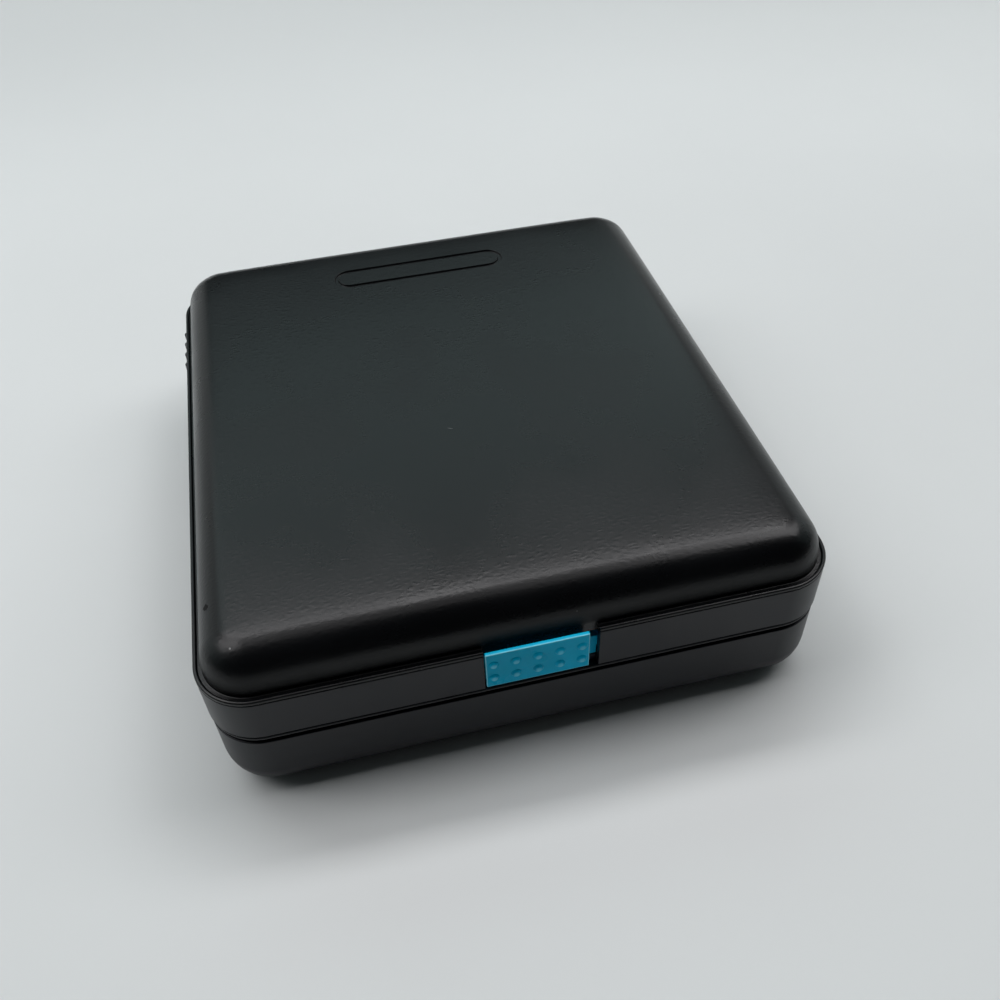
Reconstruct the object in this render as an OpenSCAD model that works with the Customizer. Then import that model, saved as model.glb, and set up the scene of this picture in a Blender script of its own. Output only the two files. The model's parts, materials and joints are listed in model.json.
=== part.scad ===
// Hard case that holds discs in bound leaves: two moulded halves, pinned at the back, with a
// slide latch at the front. The origin is the middle of the underside, +Z is up and the latch
// faces -Y. All sizes are in millimetres.

/* [Case] */
// Width of the lid frame
case_w = 150; // [140:1:200]
// Depth of the lid frame
case_d = 167.4; // [155:0.1:220]
// Corner radius of the lid frame, seen from above
corner_r = 13.2; // [12.6:0.1:18]
// Wall of the four large mouldings
wall = 2; // [1.6:0.1:2.4]

/* [Base] */
// Height of the base shell
base_h = 22; // [18:0.5:34]
// Rounding between the side and the underside of the base shell
base_edge_r = 10; // [7:0.5:12]
// How far the base stands in from the lid frame
base_inset = 0.25; // [0.1:0.05:0.6]
// Height of the shadow recess above the base shell
recess_h = 1; // [0.6:0.1:1.6]
// Depth of the shadow recess
recess_depth = 0.9; // [0.5:0.1:1.2]
// Height of the bead under the parting line
bead_h = 1.1; // [0.8:0.1:1.6]
// Height of the lip that stands up inside the lid
lip_h = 2; // [1.5:0.1:2.2]
// Thickness of that lip
lip_t = 1.2; // [1:0.1:1.6]
// How far the base frame reaches down inside the base shell
skirt_h = 7; // [5:0.5:9]

/* [Lid] */
// Height of the band of the lid frame
band_h = 12.6; // [12:0.1:18]
// Height of the lid cover above the band
cover_h = 12; // [11:0.5:18]
// Rounding between the top and the side of the cover
cover_edge_r = 9; // [6:0.5:9]
// How far the side of the cover stands in from the lid frame
cover_inset = 2.1; // [1.8:0.1:3]
// Width of the rim round the foot of the cover
rim_w = 1; // [0.8:0.1:1.2]
// Height of that rim
rim_h = 0.9; // [0.6:0.1:1.2]
// How far the floor of the foot groove lies above the band
foot_rise = 0.3; // [0.2:0.1:0.4]
// Height of the step in the band that the cover sits on
step_h = 1.7; // [1.2:0.1:2]
// Height and depth of the fine seam under the rim
seam = 0.3; // [0.2:0.05:0.4]

/* [Top groove] */
// Length of the pill-shaped groove along its middle line
pill_l = 52; // [30:1:80]
// Width of the pill-shaped groove along its middle line
pill_w = 8.5; // [6:0.5:14]
// Distance of its middle from the back of the lid frame
pill_from_back = 24.6; // [20:0.1:40]
// Radius of the groove's round section
pill_cut_r = 0.8; // [0.6:0.1:1]
// Depth of the groove
pill_depth = 0.6; // [0.4:0.1:0.8]

/* [Grip ribs] */
// Ribs on each side of the lid frame
grip_count = 4; // [1:1:6]
// Distance from rib to rib
grip_pitch = 5.4; // [4:0.1:7]
// Distance of the last rib from the back
grip_from_back = 19.7; // [16:0.1:30]
// Radius of a rib
grip_r = 1.4; // [1:0.1:1.6]
// How far a rib stands out of the wall
grip_proud = 1.1; // [0.5:0.1:1.2]
// Distance of the rib ends from the edges of the band
grip_end = 1.8; // [1.8:0.1:3]

/* [Latch] */
// Width of the latch plate
plate_w = 25; // [21:0.5:32]
// Thickness of the latch plate
plate_t = 1.5; // [1.2:0.1:1.8]
// How far the plate stands out of the band
plate_proud = 0.9; // [0.6:0.1:1.4]
// Height of the plate's lower edge above the parting line
plate_lift = 1.9; // [1:0.1:2.4]
// How far the plate reaches above the band
plate_over = 1.1; // [0.6:0.1:1.2]
// Rounding of the plate's edges
plate_edge_r = 0.2; // [0.15:0.05:0.6]
// Travel of the latch
latch_travel = 2; // [1.5:0.1:3]
// Bumps in a row
bump_cols = 5; // [2:1:6]
// Distance from bump to bump along the plate
bump_pitch = 5.15; // [4:0.05:5.2]
// Distance between the two rows
bump_rows_apart = 4.7; // [3.5:0.1:6]
// Radius of a bump at its foot
bump_r = 1.1; // [0.8:0.1:1.4]
// Height of a bump
bump_h = 0.5; // [0.3:0.1:0.8]
// Length of the slide body behind the wall
carriage_w = 38; // [34:0.5:42]
// Thickness of the slide body
carriage_t = 2; // [1.6:0.1:2]
// Height of the slide body between its rails
carriage_h = 3.5; // [3:0.1:4.5]
// Distance between the two hooks
hook_pitch = 14; // [13:0.5:16]
// Width of a hook's leg
hook_w = 3; // [2.5:0.1:3.5]
// Thickness of a hook's leg
hook_t = 1.6; // [1.2:0.1:1.8]
// Length of a hook's toe
toe_l = 2; // [1.6:0.1:2.4]
// Height of a hook's toe
toe_h = 1.8; // [1.4:0.1:2.2]
// Height of the ledge that carries the legs
ledge_h = 2.3; // [2:0.1:2.4]
// Thickness of the guide plate behind the slide body
guide_t = 1.5; // [1.2:0.1:2]
// Thickness of the keeper's plate
keeper_t = 1.2; // [1:0.1:1.5]
// Width of a keeper nose
nose_w = 3.5; // [2.5:0.1:4]

/* [Hinge] */
// Radius of a knuckle
knuckle_r = 3; // [2.6:0.1:3.2]
// Length of a knuckle
knuckle_l = 8; // [6:0.5:9]
// Radius of a hinge pin
pin_r = 1; // [0.8:0.1:1.3]
// Distance between the middles of the two hinges
hinge_spread = 90; // [60:1:92]

/* [Leaves] */
// Leaves, each with a pocket on both faces
leaf_count = 12; // [1:1:12]
// Thickness of a sheet
sheet_t = 0.5; // [0.3:0.05:0.6]
// Thickness of a pocket film
film_t = 0.3; // [0.2:0.05:0.3]
// Corner radius of a sheet
sheet_corner_r = 5; // [3:0.5:8]
// Margin between the pocket and the sheet's edge
pocket_margin = 2; // [1.5:0.5:4]
// Distance of the pocket's mouth from the fold
mouth_back = 9.5; // [8:0.5:12]
// Radius of the thumb notch in the pocket's mouth
thumb_r = 11; // [8:0.5:14]

/* [Binding] */
// Depth of the bound margins, from the fold to their back edge
stub_l = 9.6; // [9.4:0.1:9.6]
// Height of the seat under the bound margins
seat_h = 1.2; // [0.8:0.1:1.4]
// Thickness of the clamp bar
bar_t = 2; // [1.5:0.1:2.5]
// Distance between the outer posts
post_spread = 90; // [60:1:96]
// Posts
post_count = 3; // [2:1:4]
// Radius of a post
post_r = 2.4; // [2.2:0.1:2.6]

/* [Screws] */
// Radius of a screw's shank
screw_r = 1.2; // [1:0.1:1.3]
// Length of a corner or binding screw under its head
screw_l = 9; // [7:0.5:10]
// Length of a latch screw under its head
short_screw_l = 3.4; // [3:0.1:3.6]
// Radius of a screw's head
head_r = 2.3; // [2:0.1:2.4]
// Height of a screw's head
head_h = 1.1; // [0.9:0.1:1.3]
// Width and depth of the cross in a screw's head
cross = 0.5; // [0.4:0.05:0.6]
// Radius of a screw boss
boss_r = 3; // [2.6:0.1:3]
// Thickness of a corner lug
lug_t = 2; // [1.5:0.1:2.5]

/* [Clearances] */
// Gap between the bead and the lid frame
parting_gap = 0.5; // [0.3:0.05:0.8]
// Gap between the lip and the lid frame
lip_gap = 0.3; // [0.25:0.05:0.4]
// Gap between pieces that are pushed together
fit_gap = 0.1; // [0.05:0.01:0.15]
// Gap between pieces that slide past each other
slide_gap = 0.2; // [0.15:0.01:0.3]
// Gap between pieces that swing past each other
swing_gap = 0.35; // [0.3:0.01:0.5]
// Gap round a hinge pin in the lid's knuckle
pin_gap = 0.05; // [0.03:0.01:0.08]
// Gap round a hinge pin in the base's knuckles
pin_fit_gap = 0.02; // [0.01:0.01:0.03]
// Gap round a screw's shank in its boss
thread_gap = 0.05; // [0.03:0.01:0.1]

/* [Hidden] */
$fn = 96;

// Heights, from the table up
recess_z = base_h;
bead_z = recess_z + recess_h;
bead_top = bead_z + bead_h;
band_z = bead_top + parting_gap;
cover_z = band_z + band_h;
case_h = cover_z + cover_h;
lip_top = bead_top + lip_h;
skirt_z = base_h - skirt_h;
step_z = cover_z - step_h;
foot_z = cover_z + foot_rise;

// Plan sizes. All the rounded outlines share the corner centres of the lid frame, so a radius
// here is also the distance of a face from those centres.
base_r = corner_r - base_inset;
cover_r = corner_r - cover_inset;
frame_inner_r = base_r - wall - fit_gap;
lip_outer_r = corner_r - wall - lip_gap;
lip_inner_r = lip_outer_r - lip_t;
core_w = case_w - 2 * corner_r;
core_d = case_d - 2 * corner_r;

// Flat part of the base shell's floor
flat_half_w = core_w / 2 + base_r - base_edge_r;
flat_half_d = core_d / 2 + base_r - base_edge_r;

// Corner bosses and lugs
boss_reach = (lip_inner_r - head_r - slide_gap) / sqrt(2);
boss_x = core_w / 2 + boss_reach;
boss_y = core_d / 2 + boss_reach;
lug_r = boss_r + 0.2;
pilot_r = screw_r + thread_gap;
hole_r = screw_r + 0.3;
pilot_l = screw_l - lug_t + 1;
lid_lug_top = step_z - 2;

// Hinge
hinge_y = case_d / 2 + knuckle_r + lip_gap;
hinge_z = band_z;
knuckle_step = knuckle_l + lip_gap;
pin_l = 3 * knuckle_l + 2 * lip_gap;

// Latch. Distances behind the front face of the band are depths.
front_y = -case_d / 2;
window_left = -plate_w / 2 - 0.6;
window_right = plate_w / 2 + latch_travel + 0.1;
plate_z = band_z + plate_lift;
plate_h = cover_z + plate_over - plate_z;
neck_depth = plate_t - plate_proud;
neck_inset = 0.2;
neck_z = lip_top + 0.5;
carriage_depth = wall + slide_gap;
carriage_back = carriage_depth + carriage_t;
ledge_z = lip_top + 1.1;
carriage_z = ledge_z + ledge_h;
carriage_top = carriage_z + carriage_h;
keeper_depth = corner_r - lip_inner_r;
keeper_face = keeper_depth + keeper_t;
hook_depth = keeper_face + lip_gap;
hook_back = hook_depth + hook_t;
toe_z = skirt_z + 5.5;
nose_z = toe_z + toe_h + slide_gap;
nose_h = 2.6;
nose_gap = 0.25;
keeper_half = (hook_pitch + 23) / 2;
keeper_x = toe_l / 2 + nose_w / 2 - nose_gap;
keeper_z = skirt_z + 1;
keeper_top = lip_top - 1;
keeper_screw_x = keeper_half - head_r - 1;
keeper_screw_z = (keeper_z + keeper_top) / 2;
guide_depth = carriage_back + slide_gap;
guide_back = guide_depth + guide_t;
guide_z = carriage_z + 0.3;
guide_top = step_z + 0.5;
guide_boss_x = carriage_w / 2 + latch_travel + boss_r + 4;
guide_boss_z = lip_top + 1.4 + boss_r;
rail_h = 1.3;
rail_left = -carriage_w / 2 - 2.3;
rail_right = carriage_w / 2 + latch_travel + 2.3;
latch_clear_half = guide_boss_x + boss_r + 1;

// Binding. The seat ends where the rounding of the floor comes up to its height.
floor_r = base_edge_r - wall;
seat_top = wall + seat_h;
stub_back_y = flat_half_d + sqrt(pow(floor_r, 2) - pow(floor_r - seat_h, 2)) - 1;
stub_front_y = stub_back_y - stub_l;
fold_y = stub_front_y - sheet_t / 2 - swing_gap;
post_y = stub_front_y + stub_l / 2;
bar_z = bead_top - head_h - bar_t;
leaf_pitch = (bar_z - seat_top) / leaf_count;
guard_t = leaf_pitch - sheet_t;
leaf_gap = 0.75;
leaf_half_w = flat_half_w - leaf_gap;
leaf_front_y = -flat_half_d + leaf_gap;
stub_half_w = leaf_half_w - 4;
bar_half_w = stub_half_w - 2;
bar_front_y = stub_front_y + 0.4;
pocket_front_y = leaf_front_y + pocket_margin;
pocket_half_w = leaf_half_w - pocket_margin;
pocket_corner_r = sheet_corner_r - pocket_margin;

function two_digits(i) = i < 10 ? str("0", i) : str(i);
function leaf_node(i, piece) = str("leaf_", two_digits(i), "_", piece);
function leaf_z(i) = seat_top + (i - 1) * leaf_pitch;

case_colour = "#2c2e30";
cover_colour = "#26292a";
teal = "#0088a8";
steel = "silver";
fabric_colour = "#34363a";
film_colour = "#c8d2d6";
bar_colour = "#1c1e20";

// A rounded rectangle, from x0 to x1 and from y0 to y1
module rounded_patch(x0, x1, y0, y1, r) {
    translate([x0 + r, y0]) square([x1 - x0 - 2 * r, y1 - y0]);
    translate([x0, y0 + r]) square([x1 - x0, y1 - y0 - 2 * r]);
    for (x = [x0 + r, x1 - r])
        for (y = [y0 + r, y1 - r])
            translate([x, y]) circle(r);
}

// Carries a cross-section round a rounded rectangle. In the section, x is the distance
// outwards from the corner centres and y is the height.
module carried_round(core_x, core_y) {
    for (quarter = [0:3]) {
        across = quarter % 2 == 0 ? core_x : core_y;
        along = quarter % 2 == 0 ? core_y : core_x;
        rotate([0, 0, 90 * quarter])
            translate([across / 2, 0, 0]) {
                if (along > 0)
                    rotate([90, 0, 0]) linear_extrude(along, center = true) children();
                translate([0, along / 2, 0]) rotate_extrude(angle = 90) children();
            }
    }
}

// A cross-section carried round the case
module round_case() {
    carried_round(core_w, core_d) children();
}

// The middle of the case, between the corner centres
module case_core(z, h) {
    translate([-core_w / 2, -core_d / 2, z]) cube([core_w, core_d, h]);
}

// Section of a rim between two radii and two heights
module band_section(r0, r1, z0, z1) {
    translate([r0, z0]) square([r1 - r0, z1 - z0]);
}

// Section of a block that reaches out to radius r, with its upper outer edge rounded
module crowned_section(r, edge_r, z0, z1) {
    band_section(0, r, z0, z1 - edge_r);
    band_section(0, r - edge_r, z0, z1);
    intersection() {
        translate([r - edge_r, z1 - edge_r]) circle(edge_r);
        band_section(0, r, z1 - edge_r, z1);
    }
}

// The same with its lower outer edge rounded
module footed_section(r, edge_r, z0, z1) {
    translate([0, z0 + z1]) mirror([0, 1]) crowned_section(r, edge_r, z0, z1);
}

// The full block of the base, which trims what stands inside it
module base_block() {
    round_case() footed_section(base_r, base_edge_r, 0, base_h);
    case_core(0, base_h);
}

// The full block of the cover
module cover_block() {
    round_case() crowned_section(cover_r, cover_edge_r, step_z, case_h);
    case_core(step_z, case_h - step_z);
}

module at_corners() {
    for (x = [-boss_x, boss_x])
        for (y = [-boss_y, boss_y])
            translate([x, y, 0]) children();
}

module at_posts() {
    for (i = [0:post_count - 1])
        translate([post_spread * (i / (post_count - 1) - 0.5), post_y, 0]) children();
}

// Turns a shape made along +Z so that it runs from the front of the case towards the back
module from_front(x, depth, z) {
    translate([x, front_y + depth, z]) rotate([-90, 0, 0]) children();
}

// A pan head screw that stands on z = 0 and reaches down
module pan_screw(shank_l) {
    difference() {
        union() {
            cylinder(r = head_r, h = head_h * 0.55);
            translate([0, 0, head_h * 0.55])
                cylinder(r1 = head_r, r2 = head_r * 0.72, h = head_h * 0.45);
            translate([0, 0, -shank_l]) cylinder(r = screw_r, h = shank_l);
        }
        for (turn = [0, 90])
            rotate([0, 0, turn])
                translate([-head_r * 0.6, -cross / 2, head_h - cross])
                    cube([head_r * 1.2, cross, cross + 1]);
    }
}

module base_shell() {
    color(case_colour) {
        difference() {
            union() {
                difference() {
                    base_block();
                    round_case() footed_section(base_r - wall, floor_r, wall, base_h + 1);
                    case_core(wall, base_h);
                }
                intersection() {
                    base_block();
                    at_corners() cylinder(r = boss_r, h = skirt_z);
                }
                translate([-stub_half_w, stub_front_y, wall / 2])
                    cube([2 * stub_half_w, stub_l, wall / 2 + seat_h]);
                at_posts() translate([0, 0, wall / 2]) cylinder(r = post_r, h = bar_z - fit_gap - wall / 2);
            }
            at_corners() translate([0, 0, skirt_z - pilot_l]) cylinder(r = pilot_r, h = pilot_l + 1);
            at_posts() translate([0, 0, bar_z - screw_l]) cylinder(r = pilot_r, h = screw_l + 1);
        }
    }
}

// Section of the base frame: skirt, neck behind the shadow recess, bead and lip
module base_frame_section() {
    inner = lip_inner_r;
    band_section(inner, frame_inner_r, skirt_z, bead_z);
    band_section(inner, base_r - recess_depth, recess_z, bead_z);
    band_section(inner, base_r - bead_h / 2, bead_z, bead_top);
    translate([base_r - bead_h / 2, bead_z + bead_h / 2]) circle(bead_h / 2);
    band_section(inner, lip_outer_r, bead_top, lip_top - lip_t / 2);
    translate([inner + lip_t / 2, lip_top - lip_t / 2]) circle(lip_t / 2);
}

// A row of knuckles along the hinge axis; steps are counted in knuckles from the middle
module knuckle_row(steps) {
    for (side = [-1, 1])
        for (step = steps)
            translate([side * hinge_spread / 2 + step * knuckle_step - knuckle_l / 2, hinge_y,
                       hinge_z])
                children();
}

// A knuckle and the arm that joins it to the wall between two heights
module knuckle(arm_depth, arm_z0, arm_z1) {
    arm_l = hinge_y - case_d / 2 + arm_depth;
    rotate([0, 90, 0]) cylinder(r = knuckle_r, h = knuckle_l);
    translate([0, -arm_l, arm_z0 - hinge_z]) cube([knuckle_l, arm_l, arm_z1 - arm_z0]);
}

module knuckle_bores(steps, bore_r) {
    knuckle_row(steps) translate([-1, 0, 0]) rotate([0, 90, 0]) cylinder(r = bore_r, h = knuckle_l + 2);
}

module base_frame() {
    color(case_colour)
        difference() {
            union() {
                round_case() base_frame_section();
                knuckle_row([-1, 1]) knuckle(wall, recess_z, bead_top);
                at_corners() translate([0, 0, skirt_z]) cylinder(r = lug_r, h = lug_t);
            }
            knuckle_bores([-1, 1], pin_r + pin_fit_gap);
            at_corners() translate([0, 0, skirt_z - 1]) cylinder(r = hole_r, h = lug_t + 2);
            for (side = [-1, 1])
                from_front(keeper_x + side * keeper_screw_x, wall, keeper_screw_z)
                    cylinder(r = pilot_r, h = keeper_face);
        }
}

module base_screws() {
    color(steel) at_corners() translate([0, 0, skirt_z + lug_t]) pan_screw(screw_l);
}

module hinge_pin(side) {
    color(steel)
        translate([side * hinge_spread / 2 - pin_l / 2, hinge_y, hinge_z])
            rotate([0, 90, 0]) cylinder(r = pin_r, h = pin_l);
}

module latch_keeper() {
    color(bar_colour)
        difference() {
            union() {
                translate([keeper_x - keeper_half, front_y + keeper_depth, keeper_z])
                    cube([2 * keeper_half, keeper_t, keeper_top - keeper_z]);
                for (side = [-1, 1])
                    translate([side * hook_pitch / 2 + hook_w / 2 + toe_l + nose_gap,
                               front_y + keeper_face, nose_z])
                        cube([nose_w, lip_gap + hook_t, nose_h]);
            }
            for (side = [-1, 1])
                from_front(keeper_x + side * keeper_screw_x, keeper_depth - 1, keeper_screw_z)
                    cylinder(r = hole_r, h = keeper_t + 2);
        }
}

module keeper_screws() {
    color(steel)
        for (side = [-1, 1])
            translate([keeper_x + side * keeper_screw_x, front_y + keeper_face, keeper_screw_z])
                rotate([-90, 0, 0]) pan_screw(keeper_face - corner_r + frame_inner_r);
}

// Section of the rim round the foot of the cover, with a round top
module rim_section() {
    band_section(corner_r - rim_w - fit_gap, corner_r, cover_z, cover_z + rim_h / 2);
    intersection() {
        translate([corner_r - rim_w / 2, cover_z + rim_h - rim_w / 2]) circle(rim_w / 2);
        band_section(0, corner_r, cover_z + rim_h / 2, cover_z + rim_h);
    }
}

module lid_cover() {
    color(cover_colour)
        difference() {
            union() {
                round_case() {
                    difference() {
                        crowned_section(cover_r, cover_edge_r, step_z, case_h);
                        crowned_section(cover_r - wall, cover_edge_r - wall, step_z - 1, case_h - wall);
                    }
                    band_section(cover_r - wall, corner_r - rim_w - fit_gap, step_z, foot_z);
                    band_section(cover_r - lip_t, corner_r - wall - fit_gap, lid_lug_top + fit_gap, step_z);
                    rim_section();
                }
                case_core(case_h - wall, wall);
                intersection() {
                    union() {
                        cover_block();
                        case_core(0, case_h - wall);
                        round_case() band_section(0, cover_r, 0, step_z);
                    }
                    at_corners() translate([0, 0, lid_lug_top])
                        cylinder(r = boss_r, h = case_h - lid_lug_top);
                }
            }
            at_corners() translate([0, 0, lid_lug_top - 1]) cylinder(r = pilot_r, h = pilot_l + 1);
            top_groove();
            cover_latch_cuts();
        }
}

// The pill-shaped groove in the top, with a round section
module top_groove() {
    translate([0, case_d / 2 - pill_from_back, case_h - pill_depth + pill_cut_r])
        carried_round(pill_l - pill_w, 0)
            translate([pill_w / 2, 0]) circle(pill_cut_r, $fn = 32);
}

// What the latch takes out of the foot of the cover
module cover_latch_cuts() {
    window_h = foot_z + rim_h + 1 - lid_lug_top;
    translate([window_left, front_y - 1, lid_lug_top])
        cube([window_right - window_left, 1 + cover_inset, window_h]);
    translate([-latch_clear_half, front_y + wall, lid_lug_top])
        cube([2 * latch_clear_half, guide_back, step_z - lid_lug_top]);
}

// Section of the band: wall, thin upper part beside the step, fine seam and eased lower edge
module lid_frame_section() {
    ease = 0.4;
    difference() {
        union() {
            band_section(corner_r - wall, corner_r, band_z, step_z);
            band_section(corner_r - rim_w, corner_r, band_z, cover_z);
        }
        band_section(corner_r - seam, corner_r + 1, cover_z - seam, cover_z + 1);
        difference() {
            band_section(corner_r - ease, corner_r + 1, band_z - 1, band_z + ease);
            translate([corner_r - ease, band_z + ease]) circle(ease, $fn = 32);
        }
    }
}

module lid_frame() {
    color(case_colour)
        difference() {
            union() {
                round_case() lid_frame_section();
                knuckle_row([0]) knuckle(wall / 2, band_z, hinge_z + knuckle_r);
                lid_lugs();
                grip_ribs();
                latch_rails();
                for (side = [-1, 1])
                    from_front(side * guide_boss_x, wall / 2, guide_boss_z)
                        cylinder(r = boss_r, h = guide_depth - wall / 2);
            }
            knuckle_bores([0], pin_r + pin_gap);
            at_corners() translate([0, 0, lid_lug_top - lug_t - 1]) cylinder(r = hole_r, h = lug_t + 2);
            translate([window_left, front_y - 1, band_z - 1])
                cube([window_right - window_left, wall + 2, band_h + 2]);
            for (side = [-1, 1])
                from_front(side * guide_boss_x, guide_depth + guide_t - short_screw_l - fit_gap, guide_boss_z)
                    cylinder(r = pilot_r, h = short_screw_l + 1);
        }
}

// Corner lugs, each on a web that reaches into the wall
module lid_lugs() {
    at_corners() translate([0, 0, lid_lug_top - lug_t]) cylinder(r = lug_r, h = lug_t);
    intersection() {
        at_corners() translate([0, 0, lid_lug_top - lug_t]) cylinder(r = 2 * boss_r, h = lug_t);
        round_case() band_section(lip_inner_r - lip_gap, corner_r - wall / 2, band_z, cover_z);
    }
}

module grip_ribs() {
    for (side = [-1, 1])
        for (i = [0:grip_count - 1])
            translate([side * (case_w / 2 + grip_proud - grip_r),
                       case_d / 2 - grip_from_back - i * grip_pitch, band_z + grip_end])
                cylinder(r = grip_r, h = band_h - 2 * grip_end);
}

// Rails on the inside of the band that the slide body runs between, on both sides of the window
module latch_rails() {
    left_l = window_left - 0.2 - rail_left;
    right_start = window_right + latch_travel + 0.2;
    for (rail_z = [carriage_z - slide_gap - rail_h, carriage_top + slide_gap]) {
        translate([rail_left, front_y + wall / 2, rail_z])
            cube([left_l, carriage_back - wall / 2, rail_h]);
        translate([right_start, front_y + wall / 2, rail_z])
            cube([rail_right - right_start, carriage_back - wall / 2, rail_h]);
    }
}

module lid_screws() {
    color(steel) at_corners() translate([0, 0, lid_lug_top - lug_t]) mirror([0, 0, 1]) pan_screw(screw_l);
}

module latch_guide() {
    ear_r = boss_r + 0.5;
    color(bar_colour)
        difference() {
            translate([0, front_y + guide_depth, 0])
                rotate([90, 0, 0]) mirror([0, 0, 1]) linear_extrude(guide_t) {
                    translate([-guide_boss_x, guide_z]) square([2 * guide_boss_x, guide_top - guide_z]);
                    for (side = [-1, 1]) {
                        translate([side * guide_boss_x, guide_boss_z]) circle(ear_r);
                        translate([side * guide_boss_x - ear_r, guide_boss_z])
                            square([2 * ear_r, guide_top - guide_boss_z]);
                    }
                }
            for (side = [-1, 1])
                from_front(side * guide_boss_x, guide_depth - 1, guide_boss_z)
                    cylinder(r = hole_r, h = guide_t + 2);
        }
}

module guide_screws() {
    color(steel)
        for (side = [-1, 1])
            translate([side * guide_boss_x, front_y + guide_back, guide_boss_z])
                rotate([-90, 0, 0]) pan_screw(short_screw_l);
}

// A slab with its edges rounded along all three directions
module eased_slab(x0, x1, y0, y1, z0, z1, r) {
    intersection() {
        translate([0, 0, z0]) linear_extrude(z1 - z0) rounded_patch(x0, x1, y0, y1, r);
        translate([0, y1, 0]) rotate([90, 0, 0]) linear_extrude(y1 - y0) rounded_patch(x0, x1, z0, z1, r);
        translate([x0, 0, 0]) rotate([90, 0, 90]) linear_extrude(x1 - x0) rounded_patch(y0, y1, z0, z1, r);
    }
}

// A low dome that stands out of the plate towards the front
module bump() {
    bump_sphere_r = (pow(bump_r, 2) + pow(bump_h, 2)) / (2 * bump_h);
    intersection() {
        translate([0, bump_sphere_r - bump_h, 0]) sphere(bump_sphere_r, $fn = 48);
        translate([-bump_r - 1, -bump_h - 1, -bump_r - 1])
            cube([2 * bump_r + 2, bump_h + 1.4, 2 * bump_r + 2]);
    }
}

module latch_slider() {
    plate_front = front_y - plate_proud;
    color(teal) {
        eased_slab(-plate_w / 2, plate_w / 2, plate_front, plate_front + plate_t, plate_z, plate_z + plate_h,
                   plate_edge_r);
        for (col = [0:bump_cols - 1])
            for (row = [-1, 1])
                translate([(col - (bump_cols - 1) / 2) * bump_pitch, plate_front,
                           plate_z + plate_h / 2 + row * bump_rows_apart / 2 - 0.3])
                    bump();
        translate([-plate_w / 2 + neck_inset, front_y + neck_depth - 0.3, neck_z])
            cube([plate_w - 2 * neck_inset, carriage_depth - neck_depth + 0.6, carriage_top - neck_z]);
        translate([-carriage_w / 2, front_y + carriage_depth, carriage_z])
            cube([carriage_w, carriage_t, carriage_h]);
        translate([-plate_w / 2 + neck_inset, front_y + carriage_depth, neck_z])
            cube([window_right - 0.1 + plate_w / 2 - neck_inset, carriage_t, carriage_z - neck_z + 0.5]);
        for (side = [-1, 1])
            translate([side * hook_pitch / 2, front_y, 0]) hook();
    }
}

// A leg that hangs from a ledge under the slide body, and its toe
module hook() {
    translate([-hook_w / 2, carriage_depth, ledge_z])
        cube([hook_w, hook_back - carriage_depth, ledge_h - slide_gap]);
    translate([-hook_w / 2, carriage_depth, carriage_z - 0.5])
        cube([hook_w, carriage_t, 1]);
    translate([-hook_w / 2, hook_depth, toe_z])
        cube([hook_w, hook_t, ledge_z - toe_z + 0.5]);
    translate([hook_w / 2 - 0.5, hook_depth, toe_z])
        cube([toe_l + 0.5, hook_t, toe_h]);
}

module leaf_stubs() {
    color(fabric_colour)
        for (i = [1:leaf_count])
            difference() {
                translate([-stub_half_w, stub_front_y, leaf_z(i)]) cube([2 * stub_half_w, stub_l, sheet_t]);
                at_posts() translate([0, 0, leaf_z(i) - 1]) cylinder(r = post_r + fit_gap, h = sheet_t + 2);
            }
}

module guard_strips() {
    color(bar_colour)
        for (i = [1:leaf_count])
            difference() {
                translate([-stub_half_w, bar_front_y, leaf_z(i) + sheet_t])
                    cube([2 * stub_half_w, stub_back_y - bar_front_y, guard_t]);
                at_posts() translate([0, 0, leaf_z(i)]) cylinder(r = post_r + fit_gap, h = leaf_pitch + 1);
            }
}

module binder_bar() {
    color(bar_colour)
        difference() {
            translate([0, 0, bar_z]) linear_extrude(bar_t)
                rounded_patch(-bar_half_w, bar_half_w, bar_front_y, stub_back_y, 2);
            at_posts() translate([0, 0, bar_z - 1]) cylinder(r = hole_r, h = bar_t + 2);
        }
}

module binder_screws() {
    color(steel) at_posts() translate([0, 0, bar_z + bar_t]) pan_screw(screw_l);
}

// The sheet's back edge is round and centred on the fold, so it turns in place
module leaf_sheet(i) {
    color(fabric_colour) {
        difference() {
            translate([0, 0, leaf_z(i)]) linear_extrude(sheet_t)
                rounded_patch(-leaf_half_w, leaf_half_w, leaf_front_y, fold_y + sheet_corner_r,
                              sheet_corner_r);
            translate([-leaf_half_w - 1, fold_y, leaf_z(i) - 1])
                cube([2 * leaf_half_w + 2, sheet_corner_r + 1, sheet_t + 2]);
        }
        translate([-leaf_half_w, fold_y, leaf_z(i) + sheet_t / 2])
            rotate([0, 90, 0]) cylinder(r = sheet_t / 2, h = 2 * leaf_half_w);
    }
}

module leaf_pockets(i) {
    color(film_colour)
        for (z = [leaf_z(i) - film_t, leaf_z(i) + sheet_t])
            difference() {
                translate([0, 0, z]) linear_extrude(film_t)
                    rounded_patch(-pocket_half_w, pocket_half_w, pocket_front_y, fold_y - mouth_back,
                                  pocket_corner_r);
                translate([0, fold_y - mouth_back, z - 1]) cylinder(r = thumb_r, h = film_t + 2);
            }
}

base_shell();
base_frame();
base_screws();
hinge_pin(-1);  // hinge_pin_left
hinge_pin(1);  // hinge_pin_right
latch_keeper();
keeper_screws();
leaf_stubs();
guard_strips();
binder_bar();
binder_screws();
lid_cover();
lid_frame();
lid_screws();
latch_guide();
guide_screws();
latch_slider();
for (i = [1:leaf_count]) {
    leaf_sheet(i);
    leaf_pockets(i);
}
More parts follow.
